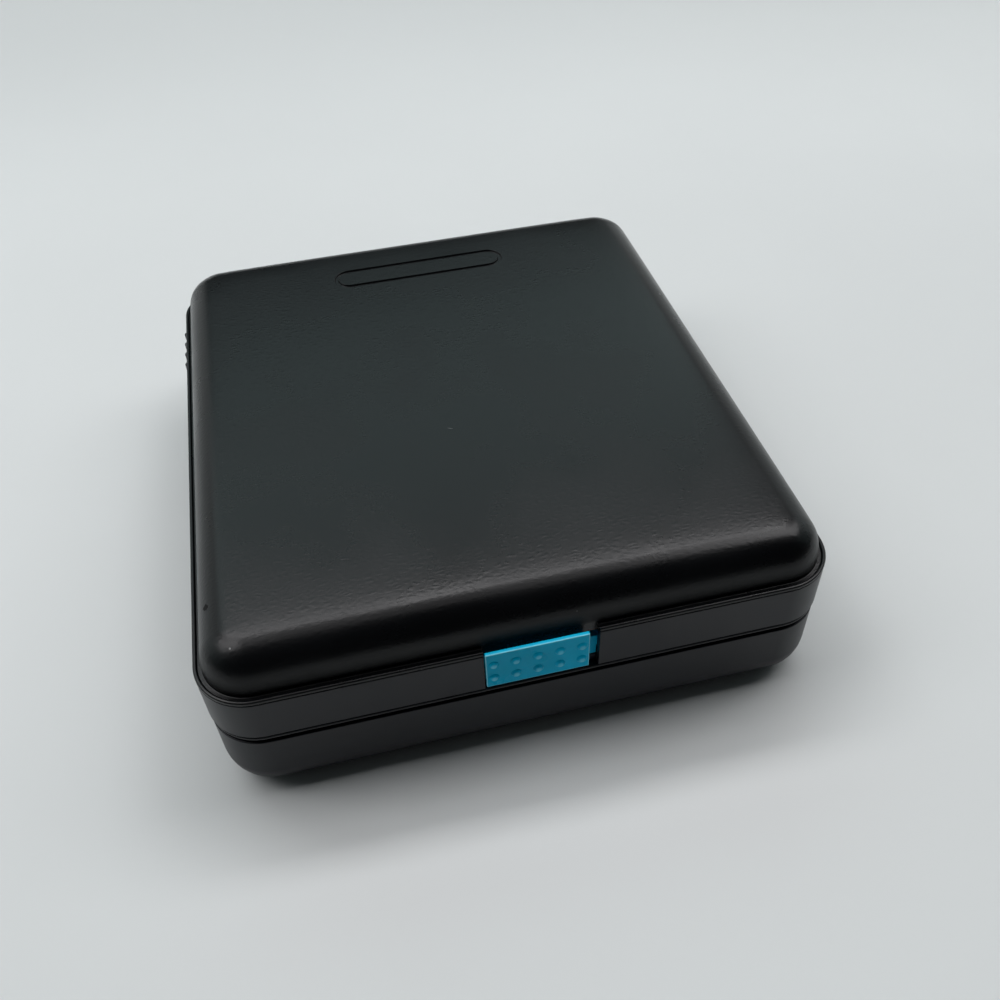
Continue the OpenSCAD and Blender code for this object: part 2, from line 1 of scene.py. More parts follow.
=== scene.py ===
"""Looks of a hard case for discs: moulded shells, slide latch, hinges and bound leaves.

It is run as a script. Everything is in metres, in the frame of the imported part: the origin is
the middle of the underside, +Z is up, the latch faces -Y and the hinges are at +Y.
"""

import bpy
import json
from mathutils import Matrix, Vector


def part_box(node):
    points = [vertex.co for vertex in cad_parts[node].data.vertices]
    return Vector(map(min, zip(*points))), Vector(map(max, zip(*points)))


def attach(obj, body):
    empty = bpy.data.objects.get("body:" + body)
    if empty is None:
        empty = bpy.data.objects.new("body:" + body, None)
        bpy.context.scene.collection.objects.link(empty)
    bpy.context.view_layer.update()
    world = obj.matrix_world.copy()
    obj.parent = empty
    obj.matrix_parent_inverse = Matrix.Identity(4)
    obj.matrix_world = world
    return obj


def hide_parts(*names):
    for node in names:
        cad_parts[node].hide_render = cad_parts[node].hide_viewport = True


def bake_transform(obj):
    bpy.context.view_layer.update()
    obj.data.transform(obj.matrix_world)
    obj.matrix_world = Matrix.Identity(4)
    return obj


bl_info = {
    "name": "Disc wallet case",
    "version": (1, 0, 0),
    "blender": (4, 5, 0),
    "location": "View3D > Sidebar > Case",
    "description": "Builds the shells, latch, hinges and leaves of a hard case for discs",
    "category": "Object",
}

import json
import math

import bmesh
import bpy
import numpy as np
from bpy.props import FloatProperty, FloatVectorProperty, IntProperty, PointerProperty
from mathutils import Matrix, Quaternion, Vector
from mathutils.geometry import delaunay_2d_cdt

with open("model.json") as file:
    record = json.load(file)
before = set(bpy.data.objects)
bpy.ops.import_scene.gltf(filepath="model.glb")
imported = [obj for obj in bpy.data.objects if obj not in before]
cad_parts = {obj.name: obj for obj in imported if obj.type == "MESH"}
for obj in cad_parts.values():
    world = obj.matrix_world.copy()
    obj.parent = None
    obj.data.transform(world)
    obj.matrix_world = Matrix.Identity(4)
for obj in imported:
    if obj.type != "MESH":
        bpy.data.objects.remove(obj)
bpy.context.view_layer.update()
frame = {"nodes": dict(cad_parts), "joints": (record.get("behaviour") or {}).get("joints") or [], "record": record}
JOINTS = {joint["name"]: joint for joint in frame["joints"]}
BODIES = frame["record"]["behaviour"]["bodies"]
LEAVES = sorted(body for body in BODIES if body.startswith("leaf_"))

# Fineness of the round stretches
CORNER_STEPS = 20
SIDE_STEPS = 26
ARC_STEP = math.radians(9)
SMALL_ARC_STEP = math.radians(22.5)
SMALL_RADIUS = 0.0012
MERGE = 1e-6
SHARP = math.radians(34)

# Fixed sizes that several pieces share
SCREW_HEAD_R = 0.0023
BOSS_R = 0.003
LUG_R, LUG_T = 0.0032, 0.002


def length(name, description, default):
    """A length that can be set in the panel"""
    return FloatProperty(name=name, description=description, default=default, unit="LENGTH", precision=5)


def colour(name, description, default):
    """A colour that can be set in the panel"""
    return FloatVectorProperty(name=name, description=description, default=default, size=3, min=0, max=1,
                               subtype="COLOR")


class CaseSizes(bpy.types.PropertyGroup):
    """Sizes of the mouldings, in metres"""

    corner_r: length("Corner", "Corner radius of the lid frame from above", 0.0132)
    wall: length("Wall", "Wall of the four large mouldings", 0.002)
    base_inset: length("Base inset", "How far the base stands in from the lid frame", 0.00025)
    base_edge_r: length("Base rounding", "Rounding under the base shell", 0.010)
    recess_h: length("Recess height", "Height of the shadow recess above the base shell", 0.001)
    recess_depth: length("Recess depth", "Depth of the shadow recess", 0.0009)
    bead_h: length("Bead", "Height of the bead under the parting line", 0.0011)
    lip_h: length("Lip height", "Height of the lip that stands up inside the lid", 0.002)
    lip_t: length("Lip", "Thickness of that lip", 0.0012)
    cover_inset: length("Cover inset", "How far the cover's side stands in from the lid frame", 0.0021)
    cover_edge_across: length("Edge across", "How far the cover's rounded edge reaches in", 0.00825)
    cover_edge_down: length("Edge down", "How far the cover's rounded edge reaches down", 0.0097)
    crown: length("Crown", "How far the cover's top falls towards its edges", 0.0004)
    roll_drop: length("Roll drop", "How far the top rolls down where its rounded edges start", 0.0002)
    roll_reach: length("Roll reach", "How far in from there the roll dies away", 0.003)
    rim_w: length("Rim width", "Width of the rim round the foot of the cover", 0.001)
    rim_h: length("Rim height", "Height of that rim above the band", 0.0009)
    foot_rise: length("Foot rise", "Height of the foot groove's floor above the band", 0.0003)
    step_h: length("Step", "Height of the step that the cover sits on", 0.0017)
    seam: length("Seam", "Height and depth of the fine seam under the rim", 0.0003)
    ease: length("Ease", "Rounding of the mouldings' outer edges", 0.0003)
    pill_l: length("Groove length", "Length of the pill-shaped groove along its middle line", 0.052)
    pill_w: length("Groove width", "Width of the pill-shaped groove along its middle line", 0.0085)
    pill_from_back: length("Groove from back", "Distance of the groove from the back", 0.0246)
    pill_depth: length("Groove depth", "Depth of the groove", 0.0005)
    pill_half: length("Groove half", "Half the width of the groove's own section", 0.00085)


class LatchSizes(bpy.types.PropertyGroup):
    """Sizes of the slide latch and the grip ribs, in metres"""

    plate_w: length("Plate width", "Width of the latch plate", 0.0242)
    plate_middle: length("Plate middle", "How far right of the middle the plate sits", 0.0004)
    plate_t: length("Plate", "Thickness of the latch plate", 0.0010)
    plate_proud: length("Proud", "How far the plate stands out of the band", 0.0009)
    plate_ease: length("Plate ease", "Rounding of the plate's edges", 0.00018)
    travel: length("Travel", "Travel of the latch", 0.002)
    body_h: length("Body height", "Height of the slide body between its rails", 0.0035)
    bump_pitch: length("Bump pitch", "Distance from bump to bump", 0.00515)
    bump_rows: length("Rows apart", "Distance between the two rows of bumps", 0.0047)
    bump_r: length("Bump", "Radius of a bump at its foot", 0.00125)
    bump_h: length("Bump height", "Height of a bump", 0.0007)
    bump_cols: IntProperty(name="Bumps", description="Bumps in a row", default=5, min=1)
    grip_count: IntProperty(name="Grip ribs", description="Grip ribs on each side", default=4, min=1)
    grip_pitch: length("Rib pitch", "Distance from grip rib to grip rib", 0.0054)
    grip_from_back: length("Ribs from back", "Distance of the last grip rib from the back", 0.0197)
    grip_r: length("Rib", "Radius of a grip rib", 0.0014)
    grip_proud: length("Rib proud", "How far a grip rib stands out", 0.0011)
    grip_end: length("Rib end", "Distance of the rib ends from the edges of the band", 0.0018)


class CaseColours(bpy.types.PropertyGroup):
    """Colours of the finishes, linear"""

    cover: colour("Cover", "Grained top of the lid", (0.0011, 0.0014, 0.0019))
    case: colour("Case", "Smooth mouldings", (0.0018, 0.0026, 0.0058))
    latch: colour("Latch", "Slide latch", (0.000, 0.420, 0.660))
    inner: colour("Inner", "Plates and bar inside", (0.012, 0.0125, 0.0135))
    card: colour("Card", "Strips between the bound margins", (0.02, 0.02, 0.021))
    fabric: colour("Fabric", "Non-woven sheets", (0.030, 0.032, 0.037))
    film: colour("Film", "Clear pockets", (0.80, 0.84, 0.86))
    steel: colour("Steel", "Screws and pins", (0.55, 0.55, 0.57))
    floor: colour("Floor", "Table and backdrop", (0.65, 0.675, 0.672))


class CaseStage(bpy.types.PropertyGroup):
    """Camera and lamps"""

    lens: FloatProperty(name="Lens", description="Focal length for a 36 mm wide square frame, in mm",
                        default=35.42)
    eye: FloatVectorProperty(name="Eye", description="Where the camera stands", size=3, unit="LENGTH",
                             default=(-0.03297, -0.21241, 0.21518))
    target: FloatVectorProperty(name="Target", description="Where the camera looks", size=3, unit="LENGTH",
                                default=(0.00571, -0.02380, 0.02400))
    roll: FloatProperty(name="Roll", description="Turn of the camera about its view", unit="ROTATION",
                        default=math.radians(-2.58))
    back_power: FloatProperty(name="Back lamp", description="Power of the long lamp high behind, in watts",
                              default=10.6)
    low_power: FloatProperty(name="Low lamp", description="Power of the long lamp lower behind, in watts",
                             default=3.05)
    high_power: FloatProperty(name="High lamp", description="Power of the broad lamp overhead, in watts",
                              default=3.0)
    left_power: FloatProperty(name="Left lamp", description="Power of the lamp above left, in watts",
                              default=4.9)
    right_power: FloatProperty(name="Right lamp", description="Power of the lamp above right, in watts",
                               default=4.7)
    wall_power: FloatProperty(name="Side walls", description="Power of each dim pale side, in watts",
                              default=0.55)
    fill: FloatProperty(name="Fill", description="Strength of the light from all round", default=0.025)
    distance: colour("Distance", "What the camera sees far off, past the table", (0.57, 0.61, 0.61))


class Layout:
    """Heights and distances that pieces share, from the frame's own parts and the sizes.

    A name that ends in _r is a distance outwards from the centres of the rounded corners,
    which all the outlines share."""

    def __init__(self, scene):
        s, k = scene.case_sizes, scene.latch_sizes
        base_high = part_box("base_shell")[1]
        self.hinge = Vector(JOINTS["lid_hinge"]["pos_m"])
        self.half_w = base_high.x + s.base_inset
        self.half_d = base_high.y + s.base_inset
        self.core_x = self.half_w - s.corner_r
        self.core_y = self.half_d - s.corner_r
        self.base_top = base_high.z
        self.bead_low = self.base_top + s.recess_h
        self.bead_high = self.bead_low + s.bead_h
        self.lip_high = self.bead_high + s.lip_h
        self.skirt_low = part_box("base_frame")[0].z
        self.band_low = self.hinge.z
        self.band_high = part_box("lid_frame")[1].z
        self.step = self.band_high - s.step_h
        self.foot = self.band_high + s.foot_rise
        self.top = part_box("lid_cover")[1].z
        self.tongue_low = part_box("lid_cover")[0].z
        self.base_r = s.corner_r - s.base_inset
        self.cover_r = s.corner_r - s.cover_inset
        lip_gap = 0.0003
        self.lip_outer_r = s.corner_r - s.wall - lip_gap
        self.lip_inner_r = self.lip_outer_r - s.lip_t

        plate_rise, gap_left, gap_right = 0.0019, 0.00025, 0.0007
        self.plate_left = k.plate_middle - k.plate_w / 2
        self.plate_right = k.plate_middle + k.plate_w / 2
        self.plate_front = -self.half_d - k.plate_proud
        self.plate_low = self.band_low + plate_rise
        self.plate_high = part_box("latch_slider")[1].z
        self.window = (self.plate_left - gap_left, self.plate_right + k.travel + gap_right)

        neck_rise, body_rise, body_gap, body_t = 0.0005, 0.0034, 0.0002, 0.002
        self.neck_low = self.lip_high + neck_rise
        self.body_low = self.lip_high + body_rise
        self.body_high = self.body_low + k.body_h
        self.body_front = s.wall + body_gap
        self.body_back = self.body_front + body_t

        screws_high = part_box("lid_screws")[1]
        boss_x, boss_y = screws_high.x - SCREW_HEAD_R, screws_high.y - SCREW_HEAD_R
        self.bosses = [(x, y) for x in (-boss_x, boss_x) for y in (-boss_y, boss_y)]


def layout():
    """The layout for the sizes as they are set now"""
    return Layout(bpy.context.scene)


# Plain mesh making


def linked(name, data):
    """An object with the data given, in the scene"""
    made = bpy.data.objects.new(name, data)
    bpy.context.scene.collection.objects.link(made)
    return made


def from_faces(name, points, faces):
    """An object from points and faces, with doubles merged and its faces pointing outwards"""
    mesh = bpy.data.meshes.new(name)
    mesh.from_pydata([tuple(point) for point in points], [], faces)
    work = bmesh.new()
    work.from_mesh(mesh)
    bmesh.ops.remove_doubles(work, verts=work.verts, dist=MERGE)
    bmesh.ops.dissolve_degenerate(work, edges=work.edges, dist=MERGE)
    bmesh.ops.recalc_face_normals(work, faces=work.faces)
    work.to_mesh(mesh)
    work.free()
    return linked(name, mesh)


def settle(obj):
    """Makes what the modifiers show the object's own mesh, and removes them"""
    graph = bpy.context.evaluated_depsgraph_get()
    mesh = bpy.data.meshes.new_from_object(obj.evaluated_get(graph), preserve_all_data_layers=True,
                                           depsgraph=graph)
    obj.modifiers.clear()
    obj.data = mesh
    mesh.name = obj.name
    return obj


def combine(obj, others, operation="UNION"):
    """Joins the other solids to obj, or cuts them out of it, and removes them"""
    tools = bpy.data.collections.new("tools")
    bpy.context.scene.collection.children.link(tools)
    for other in others:
        tools.objects.link(other)
    step = obj.modifiers.new("combine", "BOOLEAN")
    step.operation = operation
    step.operand_type = "COLLECTION"
    step.collection = tools
    step.solver = "EXACT"
    settle(obj)
    for other in others:
        bpy.data.objects.remove(other)
    bpy.data.collections.remove(tools)
    return obj


def smooth(obj):
    """Smooth shading that keeps flat faces flat and leaves edges sharper than SHARP sharp"""
    obj.data.shade_smooth()
    obj.data.set_sharp_from_angle(angle=SHARP)
    step = obj.modifiers.new("weigh", "WEIGHTED_NORMAL")
    step.keep_sharp = True
    return settle(obj)


def block(name, low, high, ease=0.0, steps=3):
    """A box from corner to corner with its edges rounded"""
    low, high = Vector(low), Vector(high)
    work = bmesh.new()
    bmesh.ops.create_cube(work, size=1)
    place = Matrix.Translation((low + high) / 2) @ Matrix.Diagonal((*(high - low), 1))
    bmesh.ops.transform(work, matrix=place, verts=work.verts)
    if ease:
        bmesh.ops.bevel(work, geom=work.edges[:], offset=ease, segments=steps, profile=0.5, affect="EDGES",
                        clamp_overlap=True)
    mesh = bpy.data.meshes.new(name)
    work.to_mesh(mesh)
    work.free()
    return linked(name, mesh)


def lathe(name, profile, steps=32, matrix=None):
    """Turns a closed profile (radius, height) about the Z axis, then puts it where matrix says"""
    angles = [2 * math.pi * k / steps for k in range(steps)]
    points = [(r * math.cos(a), r * math.sin(a), z) for a in angles for r, z in profile]
    count = len(profile)
    faces = [
        (i * count + j, (i + 1) % steps * count + j, (i + 1) % steps * count + (j + 1) % count,
         i * count + (j + 1) % count)
        for i in range(steps)
        for j in range(count)
    ]
    made = from_faces(name, points, faces)
    if matrix is not None:
        made.data.transform(matrix)
    return made


def pillars(name, radius, low, high, places):
    """Round solids that stand at the places given, from one height to another"""
    profile = [(0, low), (radius, low), (radius, high), (0, high)]
    return [lathe(name, profile, matrix=Matrix.Translation((x, y, 0))) for x, y in places]


def rounded(corners, closed=True):
    """Points of an outline given by its corners (across, up, radius), the radius rounding each"""
    made = []
    for k, (x, y, radius) in enumerate(corners):
        here = Vector((x, y))
        if radius == 0 or (not closed and k in (0, len(corners) - 1)):
            made.append((x, y))
            continue
        before = (Vector(corners[k - 1][:2]) - here).normalized()
        after = (Vector(corners[(k + 1) % len(corners)][:2]) - here).normalized()
        half = before.angle(after) / 2
        centre = here + (before + after).normalized() * radius / math.sin(half)
        first = here + before * radius / math.tan(half) - centre
        last = here + after * radius / math.tan(half) - centre
        start = math.atan2(first.y, first.x)
        turn = (math.atan2(last.y, last.x) - start + math.pi) % (2 * math.pi) - math.pi
        step = SMALL_ARC_STEP if radius < SMALL_RADIUS else ARC_STEP
        count = max(2, math.ceil(abs(turn) / step))
        for i in range(count + 1):
            angle = start + turn * i / count
            made.append((centre.x + radius * math.cos(angle), centre.y + radius * math.sin(angle)))
    return made


def stations(half_x, half_y):
    """Places round the rectangle of the corner centres, each with its outward direction"""
    places, outward = [], []
    corners = [(half_x, -half_y), (half_x, half_y), (-half_x, half_y), (-half_x, -half_y)]
    for k, here in enumerate(corners):
        following = corners[(k + 1) % 4]
        for i in range(CORNER_STEPS + 1):
            angle = math.radians(-90 + 90 * k + 90 * i / CORNER_STEPS)
            places.append(here)
            outward.append((math.cos(angle), math.sin(angle)))
        for i in range(1, SIDE_STEPS):
            share = i / SIDE_STEPS
            places.append(tuple(a + (b - a) * share for a, b in zip(here, following)))
            outward.append(outward[-1])
    return np.array(places), np.array(outward)


def carried(name, section, plan, closed=True, fall=None):
    """Carries a section (distance outwards, height) round the corner centres.

    An open section starts and ends at distance 0, and its two ends are closed by flat faces.
    fall(x, y) lowers the points that have a third value, by that share."""
    places, outward = stations(plan.core_x, plan.core_y)
    rows = np.array([(*point, 0.0)[:3] for point in section])
    across = places[:, None, :] + outward[:, None, :] * rows[None, :, 0:1]
    heights = np.repeat(rows[None, :, 1], len(places), 0)
    if fall is not None:
        heights = heights - fall(across[..., 0], across[..., 1]) * rows[None, :, 2]
    points = np.concatenate([across, heights[..., None]], 2).reshape(-1, 3).tolist()
    count, ring = len(rows), len(places)
    faces = [
        (i * count + j, (i + 1) % ring * count + j, (i + 1) % ring * count + (j + 1) % count,
         i * count + (j + 1) % count)
        for i in range(ring)
        for j in range(count if closed else count - 1)
    ]
    if not closed:
        single = [i for i in range(ring) if tuple(places[i]) != tuple(places[i - 1])]
        faces += [[i * count + end for i in single] for end in (0, count - 1)]
    return from_faces(name, points, faces)


# The cover's top

# Where the groove's wall ends above and below, as shares of half the groove's width
PILL_RIM, PILL_FLOOR = 0.86, 0.5
# Rows of points along the groove, in the same shares
PILL_ROWS = (0, 0.3, PILL_FLOOR, 0.57, 0.64, 0.72, 0.79, PILL_RIM, 1.05, 1.4, 1.9)


def crown_fall(plan, sizes):
    """How far the top has fallen at a place: gently at first, then rolling into the rounded edges"""
    power = 6

    def one_way(off, reach):
        past = (off - (reach - sizes.cover_edge_across)) / sizes.roll_reach
        roll = np.where(past < 0, np.exp(np.minimum(past, 0)), 2 - np.exp(-np.maximum(past, 0)))
        return sizes.crown * (off / reach) ** power + sizes.roll_drop * roll

    def fall(x, y):
        reach_x, reach_y = plan.core_x + plan.cover_r, plan.core_y + plan.cover_r
        return one_way(np.abs(x), reach_x) + one_way(np.abs(y), reach_y)

    return fall


def pill_fall(plan, sizes):
    """Depth of the pill-shaped groove at a place"""
    half_l = (sizes.pill_l - sizes.pill_w) / 2
    middle = plan.half_d - sizes.pill_from_back

    def fall(x, y):
        beside = np.maximum(np.abs(x) - half_l, 0)
        off_line = np.abs(np.hypot(beside, y - middle) - sizes.pill_w / 2)
        share = np.clip((PILL_RIM - off_line / sizes.pill_half) / (PILL_RIM - PILL_FLOOR), 0, 1)
        return sizes.pill_depth * share**2 * (3 - 2 * share)

    return fall


def fill_top(cover, plan, sizes):
    """Puts a fine surface in place of the flat face in the middle of the cover's top: a grid,
    with close rows along the pill-shaped groove"""
    crown = crown_fall(plan, sizes)
    groove = pill_fall(plan, sizes)
    half_l = (sizes.pill_l - sizes.pill_w) / 2
    middle = plan.half_d - sizes.pill_from_back
    clear = 0.0035

    def grid_lines(half):
        """Even lines from side to side, and closer ones where the top rolls down"""
        close = [side * (half - inwards) for side in (-1, 1) for inwards in (0.0012, 0.0028)]
        return sorted([*np.linspace(-half, half, SIDE_STEPS + 1)[1:-1], *close])

    def pill_row(offset):
        """Points along the pill at a distance outwards from its middle line"""
        radius = sizes.pill_w / 2 + offset
        bends = max(10, math.ceil(math.pi * (sizes.pill_w / 2) / 0.0006))
        runs = math.ceil(2 * half_l / 0.0012)
        row = []
        for side in (1, -1):
            for i in range(bends):
                angle = math.radians(-90) * side + math.pi * i / bends
                row.append((side * half_l + radius * math.cos(angle), middle + radius * math.sin(angle)))
            for i in range(runs):
                row.append((side * (half_l - 2 * half_l * i / runs), middle + side * radius))
        return row

    work = bmesh.new()
    work.from_mesh(cover.data)
    flat = max(work.faces, key=lambda face: (face.normal.z > 0.9) * len(face.verts))
    border = [vertex.co.copy() for vertex in flat.verts]
    bmesh.ops.delete(work, geom=[flat], context="FACES_ONLY")
    points = [(place.x, place.y) for place in border]
    for x in grid_lines(plan.core_x):
        for y in grid_lines(plan.core_y):
            beside = max(abs(x) - half_l, 0)
            if abs(math.hypot(beside, y - middle) - sizes.pill_w / 2) > clear:
                points.append((x, y))
    for share in sorted({sign * value for value in PILL_ROWS for sign in (-1, 1)}):
        points += pill_row(share * sizes.pill_half)
    count = len(border)
    edges = [(i, (i + 1) % count) for i in range(count)]
    made, _, faces, _, _, _ = delaunay_2d_cdt([Vector(p) for p in points], edges, [], 1, 1e-7)
    places = np.array([tuple(place) for place in made])
    heights = plan.top - crown(places[:, 0], places[:, 1]) - groove(places[:, 0], places[:, 1])
    vertices = [work.verts.new((x, y, z)) for (x, y), z in zip(places, heights)]
    for face in faces:
        work.faces.new([vertices[v] for v in face])
    bmesh.ops.remove_doubles(work, verts=work.verts, dist=MERGE)
    bmesh.ops.recalc_face_normals(work, faces=work.faces)
    work.to_mesh(cover.data)
    work.free()


# Node trees


def node(tree, kind, inputs=None, **settings):
    """A node with its settings, and its inputs by name or number set or linked"""
    made = tree.nodes.new(kind)
    for key, value in settings.items():
        setattr(made, key, value)
    for key, value in (inputs or {}).items():
        if isinstance(value, bpy.types.NodeSocket):
            tree.links.new(value, made.inputs[key])
        else:
            made.inputs[key].default_value = value
    return made


def maths(tree, operation, *values):
    """A number worked out from one or two others"""
    return node(tree, "ShaderNodeMath", dict(enumerate(values)), operation=operation).outputs[0]


def moved_by(tree, operation, first, second):
    """A vector changed by another vector: ADD, SUBTRACT, MULTIPLY or DIVIDE"""
    return node(tree, "ShaderNodeVectorMath", {0: first, 1: second}, operation=operation).outputs[0]


def sized(tree, vector, factor):
    """A vector made longer by a factor"""
    return node(tree, "ShaderNodeVectorMath", {0: vector, "Scale": factor}, operation="SCALE").outputs[0]


def parts_of(tree, vector):
    """The three parts of a vector"""
    return node(tree, "ShaderNodeSeparateXYZ", {0: vector}).outputs


def noise(tree, vector, scale, detail, **others):
    """A noise texture's outputs; scale is the number of bumps in a metre"""
    given = {"Vector": vector, "Scale": scale, "Detail": detail, **others}
    return node(tree, "ShaderNodeTexNoise", given).outputs


def ramped(tree, value, low, high, to_low=0.0, to_high=1.0):
    """A value carried smoothly from one range to another"""
    given = {"Value": value, "From Min": low, "From Max": high, "To Min": to_low, "To Max": to_high}
    return node(tree, "ShaderNodeMapRange", given, interpolation_type="SMOOTHSTEP").outputs["Result"]


def group_tree(name, kind, inputs, outputs):
    """A node group with its sockets, and its two end nodes"""
    tree = bpy.data.node_groups.new(name, kind)
    for label, socket, default in inputs:
        made = tree.interface.new_socket(label, in_out="INPUT", socket_type=socket)
        if default is not None:
            made.default_value = default
    for label, socket in outputs:
        tree.interface.new_socket(label, in_out="OUTPUT", socket_type=socket)
    return tree, tree.nodes.new("NodeGroupInput").outputs, tree.nodes.new("NodeGroupOutput").inputs


FLOAT, VECTOR = "NodeSocketFloat", "NodeSocketVector"


def leather_grain():
    """Cells with creases between them, as pressed into grained plastic"""
    tree, given, out = group_tree(
        "leather_grain", "ShaderNodeTree",
        [("Vector", VECTOR, None), ("Cell", FLOAT, 0.0013), ("Stray", FLOAT, 0.9)],
        [("Height", FLOAT), ("Crease", FLOAT)],
    )
    pitch = maths(tree, "DIVIDE", 1.0, given["Cell"])
    warp = noise(tree, given["Vector"], maths(tree, "MULTIPLY", pitch, 0.7), 2.0)["Color"]
    centred = moved_by(tree, "SUBTRACT", warp, (0.5, 0.5, 0.5))
    stray = maths(tree, "MULTIPLY", given["Cell"], given["Stray"])
    moved = moved_by(tree, "ADD", given["Vector"], sized(tree, centred, stray))
    cells = node(tree, "ShaderNodeTexVoronoi", {"Vector": moved, "Scale": pitch}, feature="DISTANCE_TO_EDGE")
    fine = noise(tree, given["Vector"], maths(tree, "MULTIPLY", pitch, 3.1), 3.0)["Fac"]
    dome = ramped(tree, cells.outputs["Distance"], 0.0, 0.55)
    tree.links.new(maths(tree, "ADD", dome, maths(tree, "MULTIPLY", fine, 0.25)), out["Height"])
    tree.links.new(maths(tree, "SUBTRACT", 1.0, dome), out["Crease"])
    return tree


def spark_texture():
    """Fine even roughness of a spark-eroded mould"""
    tree, given, out = group_tree(
        "spark_texture", "ShaderNodeTree",
        [("Vector", VECTOR, None), ("Cell", FLOAT, 0.00022)],
        [("Height", FLOAT)],
    )
    pitch = maths(tree, "DIVIDE", 1.0, given["Cell"])
    tree.links.new(noise(tree, given["Vector"], pitch, 2.5, Roughness=0.6)["Fac"], out["Height"])
    return tree


def handling():
    """Slow variation left by moulding and by hands, from 0 to 1"""
    tree, given, out = group_tree(
        "handling", "ShaderNodeTree",
        [("Vector", VECTOR, None), ("Patch", FLOAT, 0.03)],
        [("Value", FLOAT)],
    )
    pitch = maths(tree, "DIVIDE", 1.0, given["Patch"])
    slow = noise(tree, given["Vector"], pitch, 5.0, Roughness=0.55)["Fac"]
    tree.links.new(ramped(tree, slow, 0.3, 0.7), out["Value"])
    return tree


def dust():
    """A mask of a few small specks: one cell in many holds one"""
    tree, given, out = group_tree(
        "dust", "ShaderNodeTree",
        [("Vector", VECTOR, None), ("Spacing", FLOAT, 0.005), ("Speck", FLOAT, 0.045),
         ("Share", FLOAT, 0.07)],
        [("Mask", FLOAT)],
    )
    pitch = maths(tree, "DIVIDE", 1.0, given["Spacing"])
    cells = node(tree, "ShaderNodeTexVoronoi", {"Vector": given["Vector"], "Scale": pitch})
    lot = node(tree, "ShaderNodeSeparateColor", {"Color": cells.outputs["Color"]})
    held = maths(tree, "LESS_THAN", lot.outputs[0], given["Share"])
    size = maths(tree, "MULTIPLY", given["Speck"], maths(tree, "ADD", lot.outputs[1], 0.3))
    near = maths(tree, "LESS_THAN", cells.outputs["Distance"], size)
    tree.links.new(maths(tree, "MULTIPLY", held, near), out["Mask"])
    return tree


def felted_fibres():
    """Fine tangled fibres with the small pressed dots of a non-woven cloth"""
    tree, given, out = group_tree(
        "felted_fibres", "ShaderNodeTree",
        [("Vector", VECTOR, None), ("Dot Pitch", FLOAT, 0.0011)],
        [("Height", FLOAT), ("Tone", FLOAT)],
    )
    fibres_per_metre = 620.0
    parts = []
    for turn, squeeze in ((0.4, 9.0), (2.0, 7.0)):
        given_turn = {"Vector": given["Vector"], "Rotation": (0, 0, turn), "Scale": (squeeze, 1, 1)}
        turned = node(tree, "ShaderNodeMapping", given_turn).outputs[0]
        parts.append(noise(tree, turned, fibres_per_metre, 3.0, Distortion=0.6)["Fac"])
    fibres = maths(tree, "MAXIMUM", *parts)
    pitch = maths(tree, "DIVIDE", 2 * math.pi, given["Dot Pitch"])
    place = parts_of(tree, given["Vector"])
    waves = [maths(tree, "SINE", maths(tree, "MULTIPLY", place[k], pitch)) for k in range(2)]
    dots = ramped(tree, maths(tree, "MULTIPLY", *waves), 0.55, 0.85)
    tree.links.new(maths(tree, "SUBTRACT", fibres, maths(tree, "MULTIPLY", dots, 0.5)), out["Height"])
    tree.links.new(ramped(tree, fibres, 0.35, 0.75), out["Tone"])
    return tree


def mark():
    """A mask of one short scratch or speck: its Middle, its Turn and its Half Size in each direction"""
    tree, given, out = group_tree(
        "mark", "ShaderNodeTree",
        [("Vector", VECTOR, None), ("Middle", VECTOR, (0, 0, 0)), ("Turn", VECTOR, (0, 0, 0)),
         ("Half Size", VECTOR, (0.001, 0.0003, 0.002))],
        [("Mask", FLOAT)],
    )
    bites_per_metre = 1800.0
    ragged = noise(tree, given["Vector"], bites_per_metre, 2.0)["Fac"]
    offset = moved_by(tree, "SUBTRACT", given["Vector"], given["Middle"])
    turned = node(tree, "ShaderNodeVectorRotate", {"Vector": offset, "Rotation": given["Turn"]},
                  rotation_type="EULER_XYZ")
    scaled = moved_by(tree, "DIVIDE", turned.outputs[0], given["Half Size"])
    reach = node(tree, "ShaderNodeVectorMath", {0: scaled}, operation="LENGTH")
    wavy = maths(tree, "ADD", reach.outputs["Value"], maths(tree, "MULTIPLY", ragged, 0.9))
    tree.links.new(ramped(tree, wavy, 1.25, 1.0), out["Mask"])
    return tree


def grouped(tree, name, inputs):
    """A placed node group"""
    made = tree.nodes.new("ShaderNodeGroup")
    made.node_tree = bpy.data.node_groups[name]
    for key, value in inputs.items():
        if isinstance(value, bpy.types.NodeSocket):
            tree.links.new(value, made.inputs[key])
        else:
            made.inputs[key].default_value = value
    return made.outputs


def blended(tree, share, first, second):
    """A colour between two others"""
    made = tree.nodes.new("ShaderNodeMix")
    made.data_type = "RGBA"
    for socket, value in ((made.inputs[0], share), (made.inputs[6], first), (made.inputs[7], second)):
        if isinstance(value, bpy.types.NodeSocket):
            tree.links.new(value, socket)
        else:
            socket.default_value = value
    return made.outputs[2]


def scaled_colour(colour_value, factor):
    """A colour made darker or lighter"""
    return (*[min(1.0, part * factor) for part in colour_value], 1.0)


def material(name, **constants):
    """A material, its tree, its shader and the Object coordinates; constants set shader sockets.

    The frame brings plain materials of the same names, which are renamed first."""
    if name in bpy.data.materials:
        bpy.data.materials[name].name = f"{name}_plain"
    made = bpy.data.materials.new(name)
    made.use_nodes = True
    tree = made.node_tree
    shader = next(n for n in tree.nodes if n.type == "BSDF_PRINCIPLED")
    for key, value in constants.items():
        shader.inputs[key.replace("_", " ")].default_value = value
    place = tree.nodes.new("ShaderNodeTexCoord").outputs["Object"]
    return tree, shader, place


